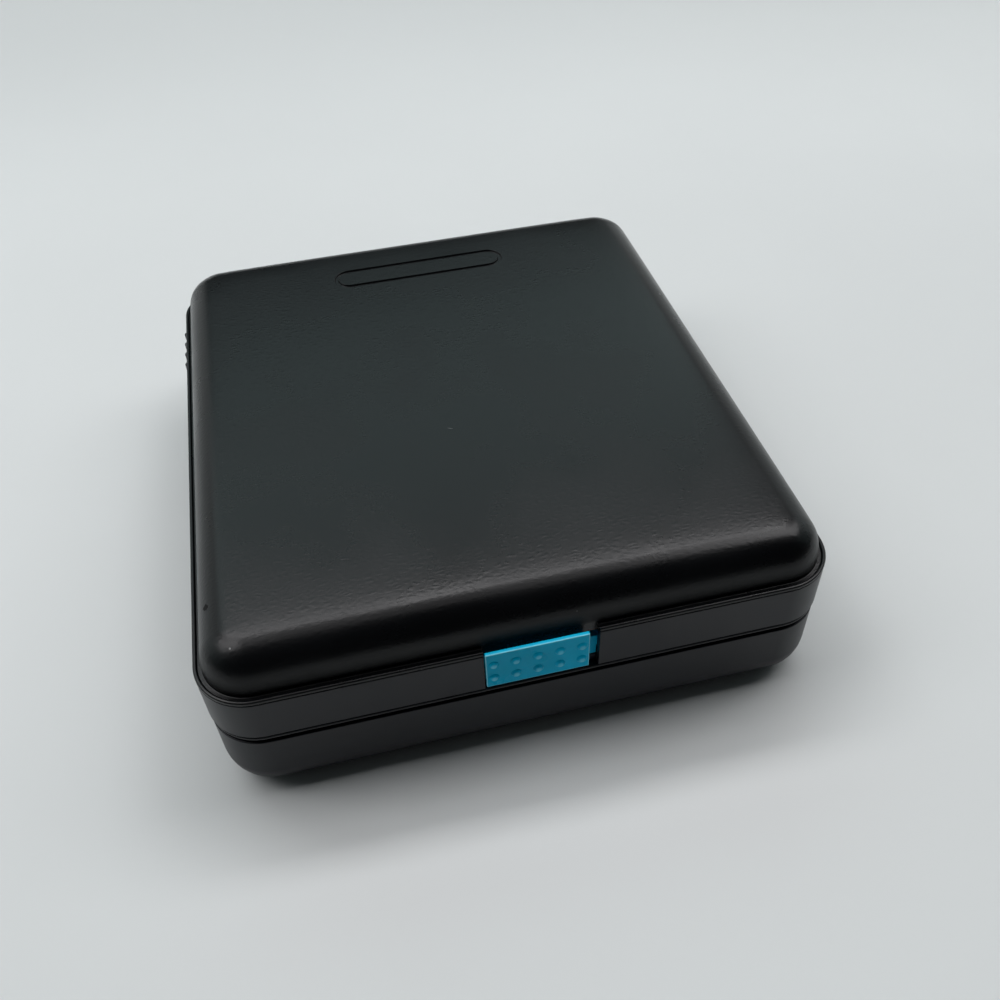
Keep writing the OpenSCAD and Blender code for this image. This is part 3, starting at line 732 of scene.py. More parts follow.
def dusted(tree, place, speck, share):
    """A mask of dust: the size of its specks, and how much of the surface's cells have one"""
    given = {"Vector": place, "Spacing": 0.005, "Speck": speck, "Share": share}
    return grouped(tree, "dust", given)["Mask"]


def marked(tree, place, middle, turn, half_size):
    """A mask of one mark"""
    given = {"Vector": place, "Middle": middle, "Turn": turn, "Half Size": half_size}
    return grouped(tree, "mark", given)["Mask"]


def bumped(tree, shader, height, strength, distance):
    """Gives a shader its relief"""
    bump = node(tree, "ShaderNodeBump", {"Height": height, "Strength": strength, "Distance": distance})
    tree.links.new(bump.outputs["Normal"], shader.inputs["Normal"])


def cover_plastic(colours, foot):
    """Grained plastic with nicks and specks, duller on its sides down to the foot groove"""
    tree, shader, place = material("cover_plastic", Specular_IOR_Level=0.29)
    stretched = moved_by(tree, "MULTIPLY", place, (0.6, 1, 1))
    grain = grouped(tree, "leather_grain", {"Vector": stretched, "Cell": 0.0013, "Stray": 0.9})
    hands = grouped(tree, "handling", {"Vector": place, "Patch": 0.045})["Value"]
    specks = dusted(tree, place, 0.045, 0.07)
    top_nick = marked(tree, place, (-0.0058, -0.0196, 0.049), (0, 0, 0.5), (0.0012, 0.0003, 0.003))
    edge_nick = marked(tree, place, (-0.0701, -0.0617, 0.0468), (0, 0.6, 0.9), (0.0017, 0.0011, 0.004))
    for middle in ((-0.0249, -0.0786, 0.0470), (-0.0640, -0.0166, 0.0492)):
        crumb = marked(tree, place, middle, (0, 0, 0.4), (0.0004, 0.00035, 0.0005))
        specks = maths(tree, "MAXIMUM", specks, crumb)
    dark = scaled_colour(colours.cover, 0.82)
    plain = blended(tree, hands, dark, scaled_colour(colours.cover, 1.18))
    # Painted shade: the grain's creases are darkened in colour
    crease_shaded = blended(tree, maths(tree, "MULTIPLY", grain["Crease"], 0.12), plain, dark)
    dusty = blended(tree, maths(tree, "MULTIPLY", specks, 0.6), crease_shaded, (0.32, 0.33, 0.33, 1))
    nicked = blended(tree, maths(tree, "MULTIPLY", top_nick, 0.55), dusty, (0.09, 0.095, 0.095, 1))
    tree.links.new(blended(tree, edge_nick, nicked, (0.003, 0.003, 0.003, 1)), shader.inputs["Base Color"])
    up, glossy_down_to, dull_from = parts_of(tree, place)[2], 0.0440, 0.0402
    side = maths(tree, "MULTIPLY", ramped(tree, up, glossy_down_to, dull_from, 0.0, 0.30),
                 ramped(tree, up, foot + 0.0006, foot + 0.0016))
    duller = maths(tree, "ADD", side, maths(tree, "MULTIPLY", edge_nick, 0.6))
    worn = maths(tree, "ADD", ramped(tree, hands, 0, 1, 0.24, 0.30), duller)
    tree.links.new(maths(tree, "ADD", worn, maths(tree, "MULTIPLY", grain["Crease"], 0.015)),
                   shader.inputs["Roughness"])
    height = maths(tree, "SUBTRACT", grain["Height"], maths(tree, "MULTIPLY", edge_nick, 2.0))
    bumped(tree, shader, height, 0.3, 0.00006)


def highlight_rim_mask(tree, place, low, high):
    """A mask of the edges of a front face from corner to corner, and of what stands out of it, where a highlight
    is painted
    """
    wide = 0.0003
    parts = parts_of(tree, place)
    near = 0.0
    for part, first, last in ((parts[0], low[0], high[0]), (parts[2], low[2], high[2])):
        off_middle = maths(tree, "ABSOLUTE", maths(tree, "SUBTRACT", part, (first + last) / 2))
        half = (last - first) / 2
        near = maths(tree, "MAXIMUM", ramped(tree, off_middle, half - wide, half - wide * 0.4), near)
    front = ramped(tree, parts[1], high[1], low[1] + (high[1] - low[1]) * 0.5)
    tops = ramped(tree, parts[1], low[1] - 0.0004, low[1] - 0.0007, 0.0, 0.6)
    return maths(tree, "MAXIMUM", maths(tree, "MULTIPLY", near, front), tops)


def smooth_plastic(name, base, rough_low, rough_high, share, texture=0.2, shine=0.28, border=None):
    """A smooth moulding with a fine mould texture, slow variation and a little dust.

    border is the low and high corner of a front face whose edges and bumps get a painted highlight in a lighter
    colour"""
    tree, shader, place = material(name, Specular_IOR_Level=shine)
    fine = grouped(tree, "spark_texture", {"Vector": place, "Cell": 0.00025})["Height"]
    hands = grouped(tree, "handling", {"Vector": place, "Patch": 0.03})["Value"]
    specks = dusted(tree, place, 0.035, share)
    plain = blended(tree, hands, scaled_colour(base, 0.88), scaled_colour(base, 1.1))
    if border is not None:
        # Painted highlight: the face's edges and the tops of its bumps are made a lighter cyan
        painted_highlight = maths(tree, "MULTIPLY", highlight_rim_mask(tree, place, *border), 0.75)
        plain = blended(tree, painted_highlight, plain, (0.30, 0.80, 0.92, 1))
    tree.links.new(blended(tree, maths(tree, "MULTIPLY", specks, 0.6), plain, (0.34, 0.35, 0.35, 1)),
                   shader.inputs["Base Color"])
    tree.links.new(ramped(tree, hands, 0, 1, rough_low, rough_high), shader.inputs["Roughness"])
    bumped(tree, shader, fine, texture, 0.00003)


def card_stock(colours):
    """Dull board with a fine mottle"""
    tree, shader, place = material("strip_card", Roughness=0.8)
    fine = grouped(tree, "spark_texture", {"Vector": place, "Cell": 0.0004})["Height"]
    tree.links.new(blended(tree, fine, scaled_colour(colours.card, 0.7), scaled_colour(colours.card, 1.5)),
                   shader.inputs["Base Color"])
    bumped(tree, shader, fine, 0.5, 0.00005)


def sheet_fabric(colours):
    """Dull felted cloth"""
    tree, shader, place = material("sheet_fabric", Roughness=0.88, Sheen_Weight=0.25, Sheen_Roughness=0.5)
    cloth = grouped(tree, "felted_fibres", {"Vector": place, "Dot Pitch": 0.0011})
    dark, light = scaled_colour(colours.fabric, 0.6), scaled_colour(colours.fabric, 1.6)
    tree.links.new(blended(tree, cloth["Tone"], dark, light), shader.inputs["Base Color"])
    bumped(tree, shader, cloth["Height"], 0.6, 0.00012)


def pocket_film(colours):
    """Clear film, frosted along its welded border"""
    tree, shader, place = material("pocket_film", Specular_IOR_Level=0.6)
    low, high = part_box(f"{LEAVES[0]}_pockets")
    weld = 0.0016
    weld_ribs = 5200.0
    parts = parts_of(tree, place)
    side = ramped(tree, maths(tree, "ABSOLUTE", parts[0]), high.x - weld, high.x - weld * 0.6)
    front = ramped(tree, parts[1], low.y + weld, low.y + weld * 0.6)
    seal = maths(tree, "MAXIMUM", side, front)
    slanted = maths(tree, "ADD", parts[0], parts[1])
    ribs = maths(tree, "SINE", maths(tree, "MULTIPLY", slanted, weld_ribs))
    pressed = maths(tree, "MULTIPLY", seal, maths(tree, "ADD", maths(tree, "MULTIPLY", ribs, 0.25), 0.75))
    waves = grouped(tree, "handling", {"Vector": place, "Patch": 0.02})["Value"]
    dark, light = scaled_colour(colours.film, 0.85), scaled_colour(colours.film, 1.0)
    tree.links.new(blended(tree, pressed, dark, light), shader.inputs["Base Color"])
    tree.links.new(ramped(tree, pressed, 0, 1, 0.13, 0.42), shader.inputs["Alpha"])
    frosted = maths(tree, "MAXIMUM", pressed, maths(tree, "MULTIPLY", waves, 0.3))
    tree.links.new(ramped(tree, frosted, 0, 1, 0.08, 0.5), shader.inputs["Roughness"])
    bumped(tree, shader, waves, 0.35, 0.0006)


def plain_steel(colours):
    """Steel of screws and pins, a little stained"""
    tree, shader, place = material("steel", Metallic=1.0)
    hands = grouped(tree, "handling", {"Vector": place, "Patch": 0.002})["Value"]
    fine = grouped(tree, "spark_texture", {"Vector": place, "Cell": 0.00012})["Height"]
    dark, light = scaled_colour(colours.steel, 0.75), scaled_colour(colours.steel, 1.1)
    tree.links.new(blended(tree, hands, dark, light), shader.inputs["Base Color"])
    tree.links.new(ramped(tree, hands, 0, 1, 0.25, 0.42), shader.inputs["Roughness"])
    bumped(tree, shader, fine, 0.2, 0.00002)


# Geometry Nodes


def repeat_tree():
    """Copies of a piece on a grid: Columns along Step A and Rows along Step B about Middle"""
    tree, given, out = group_tree(
        "repeat_on_grid", "GeometryNodeTree",
        [("Piece", "NodeSocketObject", None), ("Columns", "NodeSocketInt", 1), ("Rows", "NodeSocketInt", 1),
         ("Step A", VECTOR, (0, 0, 0)), ("Step B", VECTOR, (0, 0, 0)), ("Middle", VECTOR, (0, 0, 0)),
         ("Material", "NodeSocketMaterial", None)],
        [("Geometry", "NodeSocketGeometry")],
    )
    index = tree.nodes.new("GeometryNodeInputIndex").outputs[0]
    column = maths(tree, "MODULO", index, given["Columns"])
    row = maths(tree, "FLOOR", maths(tree, "DIVIDE", index, given["Columns"]))
    place = given["Middle"]
    across = (column, given["Columns"], given["Step A"])
    along = (row, given["Rows"], given["Step B"])
    for number, count, step in (across, along):
        middle = maths(tree, "DIVIDE", maths(tree, "SUBTRACT", count, 1.0), 2.0)
        place = moved_by(tree, "ADD", place, sized(tree, step, maths(tree, "SUBTRACT", number, middle)))
    total = maths(tree, "MULTIPLY", given["Columns"], given["Rows"])
    spots = node(tree, "GeometryNodePoints", {"Count": total, "Position": place})
    piece = node(tree, "GeometryNodeObjectInfo", {"Object": given["Piece"], "As Instance": True})
    copies = node(tree, "GeometryNodeInstanceOnPoints", {"Points": spots.outputs[0],
                                                         "Instance": piece.outputs["Geometry"]})
    real = node(tree, "GeometryNodeRealizeInstances", {0: copies.outputs[0]})
    given_paint = {"Geometry": real.outputs[0], "Material": given["Material"]}
    tree.links.new(node(tree, "GeometryNodeSetMaterial", given_paint).outputs[0], out["Geometry"])
    return tree


def sweep_tree():
    """A profile carried along an outline; the profile's second direction points down"""
    tree, given, out = group_tree(
        "sweep_along", "GeometryNodeTree",
        [("Outline", "NodeSocketObject", None), ("Profile", "NodeSocketObject", None),
         ("Material", "NodeSocketMaterial", None)],
        [("Geometry", "NodeSocketGeometry")],
    )
    path = node(tree, "GeometryNodeObjectInfo", {"Object": given["Outline"]})
    upright = node(tree, "GeometryNodeSetCurveNormal", {"Curve": path.outputs["Geometry"]}, mode="Z_UP")
    shape = node(tree, "GeometryNodeObjectInfo", {"Object": given["Profile"]})
    swept = node(tree, "GeometryNodeCurveToMesh", {"Curve": upright.outputs[0],
                                                   "Profile Curve": shape.outputs["Geometry"]})
    real = node(tree, "GeometryNodeRealizeInstances", {0: swept.outputs[0]})
    given_paint = {"Geometry": real.outputs[0], "Material": given["Material"]}
    tree.links.new(node(tree, "GeometryNodeSetMaterial", given_paint).outputs[0], out["Geometry"])
    return tree


def grown(name, tree_name, **inputs):
    """The mesh that a geometry tree makes, as an object; inputs are given by the socket's name"""
    tree = bpy.data.node_groups[tree_name]
    named = {item.name.replace(" ", "_"): item.identifier for item in tree.interface.items_tree
             if item.in_out == "INPUT"}
    made = linked(name, bpy.data.meshes.new(name))
    step = made.modifiers.new("grow", "NODES")
    step.node_group = tree
    for key, value in inputs.items():
        step[named[key]] = value
    return settle(made)


def repeated(name, piece, finish, columns, rows, step_a, step_b, middle):
    """Copies of a piece on a grid, as one mesh; the piece itself is removed"""
    made = grown(name, "repeat_on_grid", Piece=piece, Columns=columns, Rows=rows, Step_A=Vector(step_a),
                 Step_B=Vector(step_b), Middle=Vector(middle), Material=bpy.data.materials[finish])
    bpy.data.objects.remove(piece)
    return made


def poly_curve(name, points):
    """A closed curve of straight stretches"""
    curve = bpy.data.curves.new(name, "CURVE")
    curve.dimensions = "3D"
    spline = curve.splines.new("POLY")
    spline.points.add(len(points) - 1)
    spline.use_cyclic_u = True
    for point, place in zip(spline.points, points):
        point.co = (*place, 1)
    return linked(name, curve)


def placed(obj, body, finish, *nodes):
    """Gives a finished piece its material, its body and the nodes that it stands for"""
    obj.data.materials.clear()
    obj.data.materials.append(bpy.data.materials[finish])
    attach(obj, body)
    if nodes:
        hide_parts(*nodes)
    return obj


# Pieces


class CASE_OT_finishes(bpy.types.Operator):
    """Make the finishes and the trees that the pieces use"""

    bl_idname = "case.finishes"
    bl_label = "Finishes"

    def execute(self, context):
        colours = context.scene.case_colours
        for build in (leather_grain, spark_texture, handling, dust, felted_fibres, mark, repeat_tree,
                      sweep_tree):
            build()
        plan = layout()
        cover_plastic(colours, plan.foot)
        smooth_plastic("case_plastic", colours.case, 0.32, 0.40, 0.05)
        # The latch plate's front face, whose edges and bump tops get a painted highlight
        edge_depth = 0.0003
        border = ((plan.plate_left, plan.plate_front, plan.plate_low),
                  (plan.plate_right, plan.plate_front + edge_depth, plan.plate_high))
        smooth_plastic("latch_plastic", colours.latch, 0.26, 0.32, 0.02, texture=0.1, shine=0.08,
                       border=border)
        smooth_plastic("inner_plastic", colours.inner, 0.42, 0.52, 0.04)
        card_stock(colours)
        sheet_fabric(colours)
        pocket_film(colours)
        plain_steel(colours)
        return {"FINISHED"}


class CASE_OT_base_shell(bpy.types.Operator):
    """Make the lower moulding that rounds under, with its posts, seat and corner bosses"""

    bl_idname = "case.base_shell"
    bl_label = "Base shell"

    def execute(self, context):
        s, plan = context.scene.case_sizes, layout()
        outer = [(0, 0, 0), (plan.base_r, 0, s.base_edge_r), (plan.base_r, plan.base_top, s.ease)]
        inner = [(plan.base_r - s.wall, plan.base_top, s.ease / 2),
                 (plan.base_r - s.wall, s.wall, s.base_edge_r - s.wall), (0, s.wall, 0)]
        shell = carried("base_tub", rounded(outer + inner, closed=False), plan, closed=False)
        stub_low, stub_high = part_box("leaf_stubs")
        post_r, post_spread, post_y = 0.0024, 0.045, (stub_low.y + stub_high.y) / 2
        sunk, boss_low = s.wall / 2, s.base_edge_r * 0.45
        seat = block("seat", (stub_low.x, stub_low.y, sunk), (stub_high.x, stub_high.y, stub_low.z), 0.0004)
        posts = pillars("post", post_r, sunk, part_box("binder_bar")[0].z,
                        [(x, post_y) for x in (-post_spread, 0, post_spread)])
        bosses = pillars("boss", BOSS_R, boss_low, plan.skirt_low, plan.bosses)
        placed(smooth(combine(shell, [seat, *posts, *bosses])), "base", "case_plastic", "base_shell")
        return {"FINISHED"}


class CASE_OT_base_frame(bpy.types.Operator):
    """Make the bead, the shadow recess and the lip above the base shell"""

    bl_idname = "case.base_frame"
    bl_label = "Base frame"

    def execute(self, context):
        s, plan = context.scene.case_sizes, layout()
        middle_r = (plan.lip_inner_r + plan.base_r) / 2
        skirt_r = plan.base_r - s.wall - 0.0001
        section = rounded([
            (plan.lip_inner_r, plan.skirt_low, 0.0002), (skirt_r, plan.skirt_low, 0.0002),
            (skirt_r, plan.base_top, 0), (plan.base_r - s.recess_depth, plan.base_top, 0),
            (plan.base_r - s.recess_depth, plan.bead_low, 0), (plan.base_r, plan.bead_low, s.bead_h * 0.45),
            (plan.base_r, plan.bead_high, s.bead_h * 0.45), (plan.lip_outer_r, plan.bead_high, 0),
            (plan.lip_outer_r, plan.lip_high, s.lip_t * 0.45),
            (plan.lip_inner_r, plan.lip_high, s.lip_t * 0.45),
        ])
        places, outward = stations(plan.core_x, plan.core_y)
        line = [(x, y, 0) for x, y in places + outward * middle_r]
        outline = poly_curve("outline", line)
        profile = poly_curve("profile", [(r - middle_r, -z, 0) for r, z in section])
        ring = grown("base_ring", "sweep_along", Outline=outline, Profile=profile,
                     Material=bpy.data.materials["case_plastic"])
        for tool in (outline, profile):
            bpy.data.objects.remove(tool)
        lugs = pillars("lug", LUG_R, plan.skirt_low, plan.skirt_low + LUG_T, plan.bosses)
        placed(smooth(combine(ring, lugs)), "base", "case_plastic", "base_frame")
        return {"FINISHED"}


class CASE_OT_lid_cover(bpy.types.Operator):
    """Make the grained, crowned cover with its rim, foot groove and pill-shaped groove"""

    bl_idname = "case.lid_cover"
    bl_label = "Lid cover"

    def execute(self, context):
        s, plan = context.scene.case_sizes, layout()
        edge_in = plan.cover_r - s.cover_edge_across
        edge_down = plan.top - s.cover_edge_down
        section = [(0, plan.top, 1), (edge_in / 2, plan.top, 1)]
        quarter = 18
        for i in range(quarter + 1):
            angle = math.pi / 2 * i / quarter
            height = edge_down + s.cover_edge_down * math.cos(angle)
            section.append((edge_in + s.cover_edge_across * math.sin(angle), height, math.cos(angle)))
        rim_in, rim_top = s.corner_r - s.rim_w, plan.band_high + s.rim_h
        tongue_out = s.corner_r - s.wall - 0.0001
        tongue_in = plan.cover_r - s.lip_t
        lower = [
            (plan.cover_r, edge_down, 0), (plan.cover_r, plan.foot, 0.0003), (rim_in, plan.foot, 0.00012),
            (rim_in, rim_top, s.rim_w * 0.42), (s.corner_r, rim_top, s.rim_w * 0.42),
            (s.corner_r, plan.band_high, 0.0001), (rim_in - 0.0001, plan.band_high, 0),
            (rim_in - 0.0001, plan.step, 0), (tongue_out, plan.step, 0),
            (tongue_out, plan.tongue_low, 0.0002), (tongue_in, plan.tongue_low, 0.0002),
            (tongue_in, plan.step, 0),
            (plan.cover_r - s.wall, plan.step, 0.0002), (plan.cover_r - s.wall, plan.top - s.wall, 0.007),
            (0, plan.top - s.wall, 0),
        ]
        section += [(*point, 0) for point in rounded(lower, closed=False)[1:]]
        cover = carried("cover_shell", section, plan, closed=False, fall=crown_fall(plan, s))
        boss_high = plan.top - s.cover_edge_down * 0.62
        combine(cover, pillars("boss", BOSS_R, plan.tongue_low, boss_high, plan.bosses))
        past, guide_clear, room_depth = 0.001, 0.0017, 0.0079
        window = block("window", (plan.window[0], -plan.half_d - past, plan.tongue_low - past),
                       (plan.window[1], -plan.half_d + s.cover_inset, rim_top + past))
        clear_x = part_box("guide_screws")[1].x + guide_clear
        room = block("room", (-clear_x, -plan.half_d + s.wall, plan.tongue_low - past),
                     (clear_x, -plan.half_d + room_depth, plan.step))
        combine(cover, [window, room], "DIFFERENCE")
        fill_top(cover, plan, s)
        placed(smooth(cover), "lid", "cover_plastic", "lid_cover")
        return {"FINISHED"}


class CASE_OT_lid_frame(bpy.types.Operator):
    """Make the smooth band with the latch window, its lugs and rails, and the grip ribs"""

    bl_idname = "case.lid_frame"
    bl_label = "Lid frame"

    def execute(self, context):
        s, k, plan = context.scene.case_sizes, context.scene.latch_sizes, layout()
        inner = s.corner_r - s.wall
        seam_r, step_r = s.corner_r - s.seam, s.corner_r - s.rim_w
        section = rounded([
            (inner, plan.band_low, 0.0002), (s.corner_r, plan.band_low, s.ease * 1.2),
            (s.corner_r, plan.band_high - s.seam, 0.00015), (seam_r, plan.band_high - s.seam, 0),
            (seam_r, plan.band_high, 0), (step_r, plan.band_high, 0), (step_r, plan.step, 0),
            (inner, plan.step, 0),
        ])
        band = carried("band", section, plan)
        lug_low, lug_high, web_reach, past = plan.tongue_low - LUG_T, plan.tongue_low, 0.005, 0.001
        webs = []
        for x, y in plan.bosses:
            web = block("web", (0, -LUG_R, lug_low), (web_reach, LUG_R, lug_high))
            diagonal = math.atan2(math.copysign(1, y), math.copysign(1, x))
            web.data.transform(Matrix.Translation((x, y, 0)) @ Matrix.Rotation(diagonal, 4, "Z"))
            webs.append(web)
        window = block("window", (plan.window[0], -plan.half_d - past, plan.band_low - past),
                       (plan.window[1], -plan.half_d + s.wall + past, plan.band_high + past))
        combine(band, [*pillars("lug", LUG_R, lug_low, lug_high, plan.bosses), *webs])
        combine(band, [window], "DIFFERENCE")
        placed(smooth(band), "lid", "case_plastic", "lid_frame")

        rail_h, rail_past, gap = 0.0013, 0.0023, 0.0002
        body_low, body_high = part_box("latch_slider")
        left = (body_low.x - rail_past, plan.window[0] - gap)
        right = (plan.window[1] + k.travel + gap, body_high.x + k.travel + rail_past)
        rails = [
            block("latch_rails", (start, -plan.half_d + s.wall / 2, low),
                  (end, -plan.half_d + plan.body_back, low + rail_h), 0.0001)
            for start, end in (left, right)
            for low in (plan.body_low - gap - rail_h, plan.body_high + gap)
        ]
        guide_low, guide_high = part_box("guide_screws")
        guide_z, boss_end = guide_low.z + SCREW_HEAD_R, 0.0044
        guide_places = [(x, 0) for x in (guide_low.x + SCREW_HEAD_R, guide_high.x - SCREW_HEAD_R)]
        bosses = pillars("boss", BOSS_R, s.wall / 2, boss_end, guide_places)
        inwards = Matrix.Translation((0, -plan.half_d, guide_z)) @ Matrix.Rotation(-math.pi / 2, 4, "X")
        for boss in bosses:
            boss.data.transform(inwards)
        placed(smooth(combine(rails[0], [*rails[1:], *bosses])), "lid", "case_plastic")

        half = (plan.band_high - plan.band_low) / 2 - k.grip_end
        end_ease = 0.0003
        profile = rounded([(0, -half, 0), (k.grip_r, -half, end_ease), (k.grip_r, half, end_ease),
                           (0, half, 0)], closed=False)
        rib = lathe("rib", profile, steps=24)
        middle_y = plan.half_d - k.grip_from_back - (k.grip_count - 1) * k.grip_pitch / 2
        ribs = repeated("grip_ribs", rib, "case_plastic", k.grip_count, 2, (0, k.grip_pitch, 0),
                        (2 * (plan.half_w + k.grip_proud - k.grip_r), 0, 0),
                        (0, middle_y, (plan.band_high + plan.band_low) / 2))
        placed(smooth(ribs), "lid", "case_plastic")
        return {"FINISHED"}


class CASE_OT_hinges(bpy.types.Operator):
    """Make the knuckles of the two hinges at the back"""

    bl_idname = "case.hinges"
    bl_label = "Hinges"

    def execute(self, context):
        s, plan = context.scene.case_sizes, layout()
        radius, bore, long, spread = 0.003, 0.00105, 0.008, 0.090
        step = long + 0.0003
        reach = plan.hinge.y - plan.half_d

        def knuckle(arm_low, arm_high, arm_depth):
            """A barrel round the pin, with the arm that joins it to the case"""
            profile = rounded([(bore, -long / 2, 0.00015), (radius, -long / 2, 0.0003),
                               (radius, long / 2, 0.0003), (bore, long / 2, 0.00015)])
            barrel = lathe("knuckle", profile, steps=48, matrix=Matrix.Rotation(math.pi / 2, 4, "Y"))
            arm = block("arm", (-long / 2, -reach - arm_depth, arm_low - plan.hinge.z),
                        (long / 2, -bore - 0.0004, arm_high - plan.hinge.z), 0.00012)
            return combine(barrel, [arm])

        base = repeated("base_knuckles", knuckle(plan.base_top + s.recess_h, plan.bead_high, s.wall / 2),
                        "case_plastic", 2, 2, (2 * step, 0, 0), (spread, 0, 0), plan.hinge)
        placed(smooth(base), "base", "case_plastic")
        lid = repeated("lid_knuckles", knuckle(plan.band_low + 0.0002, plan.hinge.z + radius, s.wall / 2),
                       "case_plastic", 2, 1, (spread, 0, 0), (0, 0, 0), plan.hinge)
        placed(smooth(lid), "lid", "case_plastic")
        for pin in ("hinge_pin_left", "hinge_pin_right"):
            repaint(pin, "steel")
        return {"FINISHED"}


def repaint(name, finish):
    """Gives a node of the frame that is shown as it is its finish"""
    mesh = frame["nodes"][name].data
    mesh.materials.clear()
    mesh.materials.append(bpy.data.materials[finish])


class CASE_OT_latch(bpy.types.Operator):
    """Make the slide latch, with its bumps, neck, slide body and hooks"""

    bl_idname = "case.latch"
    bl_label = "Latch"

    def execute(self, context):
        k, plan = context.scene.latch_sizes, layout()
        plate_back = plan.plate_front + k.plate_t
        plate = block("latch_plate", (plan.plate_left, plan.plate_front, plan.plate_low),
                      (plan.plate_right, plate_back, plan.plate_high), k.plate_ease, steps=4)
        body_low, body_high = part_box("latch_slider")
        front, back = -plan.half_d + plan.body_front, -plan.half_d + plan.body_back
        inset, sunk = 0.0002, 0.0003
        neck = block("neck", (plan.plate_left + inset, plate_back - sunk, plan.neck_low),
                     (plan.plate_right - inset, front + sunk, plan.body_high))
        slide = block("slide", (body_low.x, front, plan.body_low), (body_high.x, back, plan.body_high),
                      0.00015)
        apron = block("apron", (plan.plate_left + inset, front, plan.neck_low),
                      (plan.window[1] - 0.0001, back, plan.body_low + 0.0005), 0.00015)
        parts = [neck, slide, apron]
        hook_spread, hook_w, toe_l, toe_h, ledge_t, overlap = 0.007, 0.003, 0.002, 0.0018, 0.0021, 0.0005
        hook_front, hook_back = -plan.half_d + 0.005, -plan.half_d + 0.0066
        ledge_rise = 0.0011
        toe_z, ledge_z = body_low.z, plan.lip_high + ledge_rise
        for x in (-hook_spread, hook_spread):
            left, right = x - hook_w / 2, x + hook_w / 2
            parts.append(block("ledge", (left, front, ledge_z), (right, hook_back, ledge_z + ledge_t)))
            parts.append(block("leg", (left, hook_front, toe_z), (right, hook_back, ledge_z + overlap)))
            parts.append(block("toe", (right - overlap, hook_front, toe_z),
                               (right + toe_l, hook_back, toe_z + toe_h)))
        placed(smooth(combine(plate, parts)), "latch", "latch_plastic", "latch_slider")

        dome_r = (k.bump_r**2 + k.bump_h**2) / (2 * k.bump_h)
        rise = 8
        reach = math.asin(k.bump_r / dome_r)
        foot, lowered = 0.0002, 0.0003
        profile = [(0, -foot), (k.bump_r, -foot)]
        for i in range(rise + 1):
            angle = reach * (1 - i / rise)
            profile.append((dome_r * math.sin(angle), dome_r * math.cos(angle) - dome_r + k.bump_h))
        bump = lathe("bump", profile, steps=24, matrix=Matrix.Rotation(math.pi / 2, 4, "X"))
        middle_z = (plan.plate_low + plan.plate_high) / 2 - lowered
        bumps = repeated("latch_bumps", bump, "latch_plastic", k.bump_cols, 2, (k.bump_pitch, 0, 0),
                         (0, 0, k.bump_rows), (k.plate_middle, plan.plate_front, middle_z))
        placed(smooth(bumps), "latch", "latch_plastic")
        for name in ("latch_keeper", "latch_guide"):
            repaint(name, "inner_plastic")
        return {"FINISHED"}


class CASE_OT_screws(bpy.types.Operator):
    """Make the pan head screws, each group as one piece"""

    bl_idname = "case.screws"
    bl_label = "Screws"

    def execute(self, context):
        head_h, shank_r = 0.0011, 0.0012
        slot_reach, slot_half, slot_depth = SCREW_HEAD_R * 0.6, 0.00025, 0.0006

        def screw(shank):
            """A screw that stands on z = 0 and reaches down"""
            profile = rounded([(0, head_h, 0), (SCREW_HEAD_R * 0.86, head_h, 0.0006), (SCREW_HEAD_R, 0, 0),
                               (shank_r, 0, 0), (shank_r, -shank, 0.0003), (0, -shank, 0)], closed=False)
            made = lathe("screw", profile, steps=40)
            low, high = head_h - slot_depth, head_h + 0.001
            arms = [block("arm", (-x, -y, low), (x, y, high))
                    for x, y in ((slot_reach, slot_half), (slot_half, slot_reach))]
            return combine(made, arms, "DIFFERENCE")

        def group(node_name, body, shank, turn, columns, rows):
            """Screws where the frame has them; turn takes +Z to the side of the heads"""
            low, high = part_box(node_name)
            made = screw(shank)
            made.data.transform(turn)
            own_low = Vector([min(v.co[i] for v in made.data.vertices) for i in range(3)])
            own_high = Vector([max(v.co[i] for v in made.data.vertices) for i in range(3)])
            first, last = low - own_low, high - own_high
            step_a = Vector((last.x - first.x, 0, 0)) / max(columns - 1, 1)
            step_b = Vector((0, last.y - first.y, 0)) if rows > 1 else Vector()
            grid = repeated(node_name + "_shown", made, "steel", columns, rows, step_a, step_b,
                            (first + last) / 2)
            placed(smooth(grid), body, "steel", node_name)

        up = Matrix.Identity(4)
        down = Matrix.Rotation(math.pi, 4, "X")
        inwards = Matrix.Rotation(-math.pi / 2, 4, "X")
        group("base_screws", "base", 0.009, up, 2, 2)
        group("lid_screws", "lid", 0.009, down, 2, 2)
        group("binder_screws", "base", 0.009, up, 3, 1)
        group("keeper_screws", "base", 0.0023, inwards, 2, 1)
        group("guide_screws", "lid", 0.0034, inwards, 2, 1)
        return {"FINISHED"}


class CASE_OT_binding(bpy.types.Operator):
    """Make the strips between the bound margins and the bar that clamps them"""

    bl_idname = "case.binding"
    bl_label = "Binding"

    def execute(self, context):
        low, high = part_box("guard_strips")
        count = len(LEAVES)
        stub_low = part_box("leaf_stubs")[0]
        sheet_low, sheet_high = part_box(LEAVES[0] + "_sheet")
        sheet_t = sheet_high.z - sheet_low.z
        pitch = (high.z - stub_low.z) / count
        strip_t = pitch - sheet_t
        strip = block("strip", (low.x, low.y, 0), (high.x, high.y, strip_t), 0.00012, steps=2)
        stack = repeated("margin_strips", strip, "strip_card", 1, count, (0, 0, 0), (0, 0, pitch),
                         (0, 0, low.z + (count - 1) * pitch / 2))
        placed(smooth(stack), "base", "strip_card", "guard_strips")
        bar_low, bar_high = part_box("binder_bar")
        bar = block("clamp_bar", bar_low, bar_high, 0.0006)
        placed(smooth(bar), "base", "inner_plastic", "binder_bar")
        return {"FINISHED"}


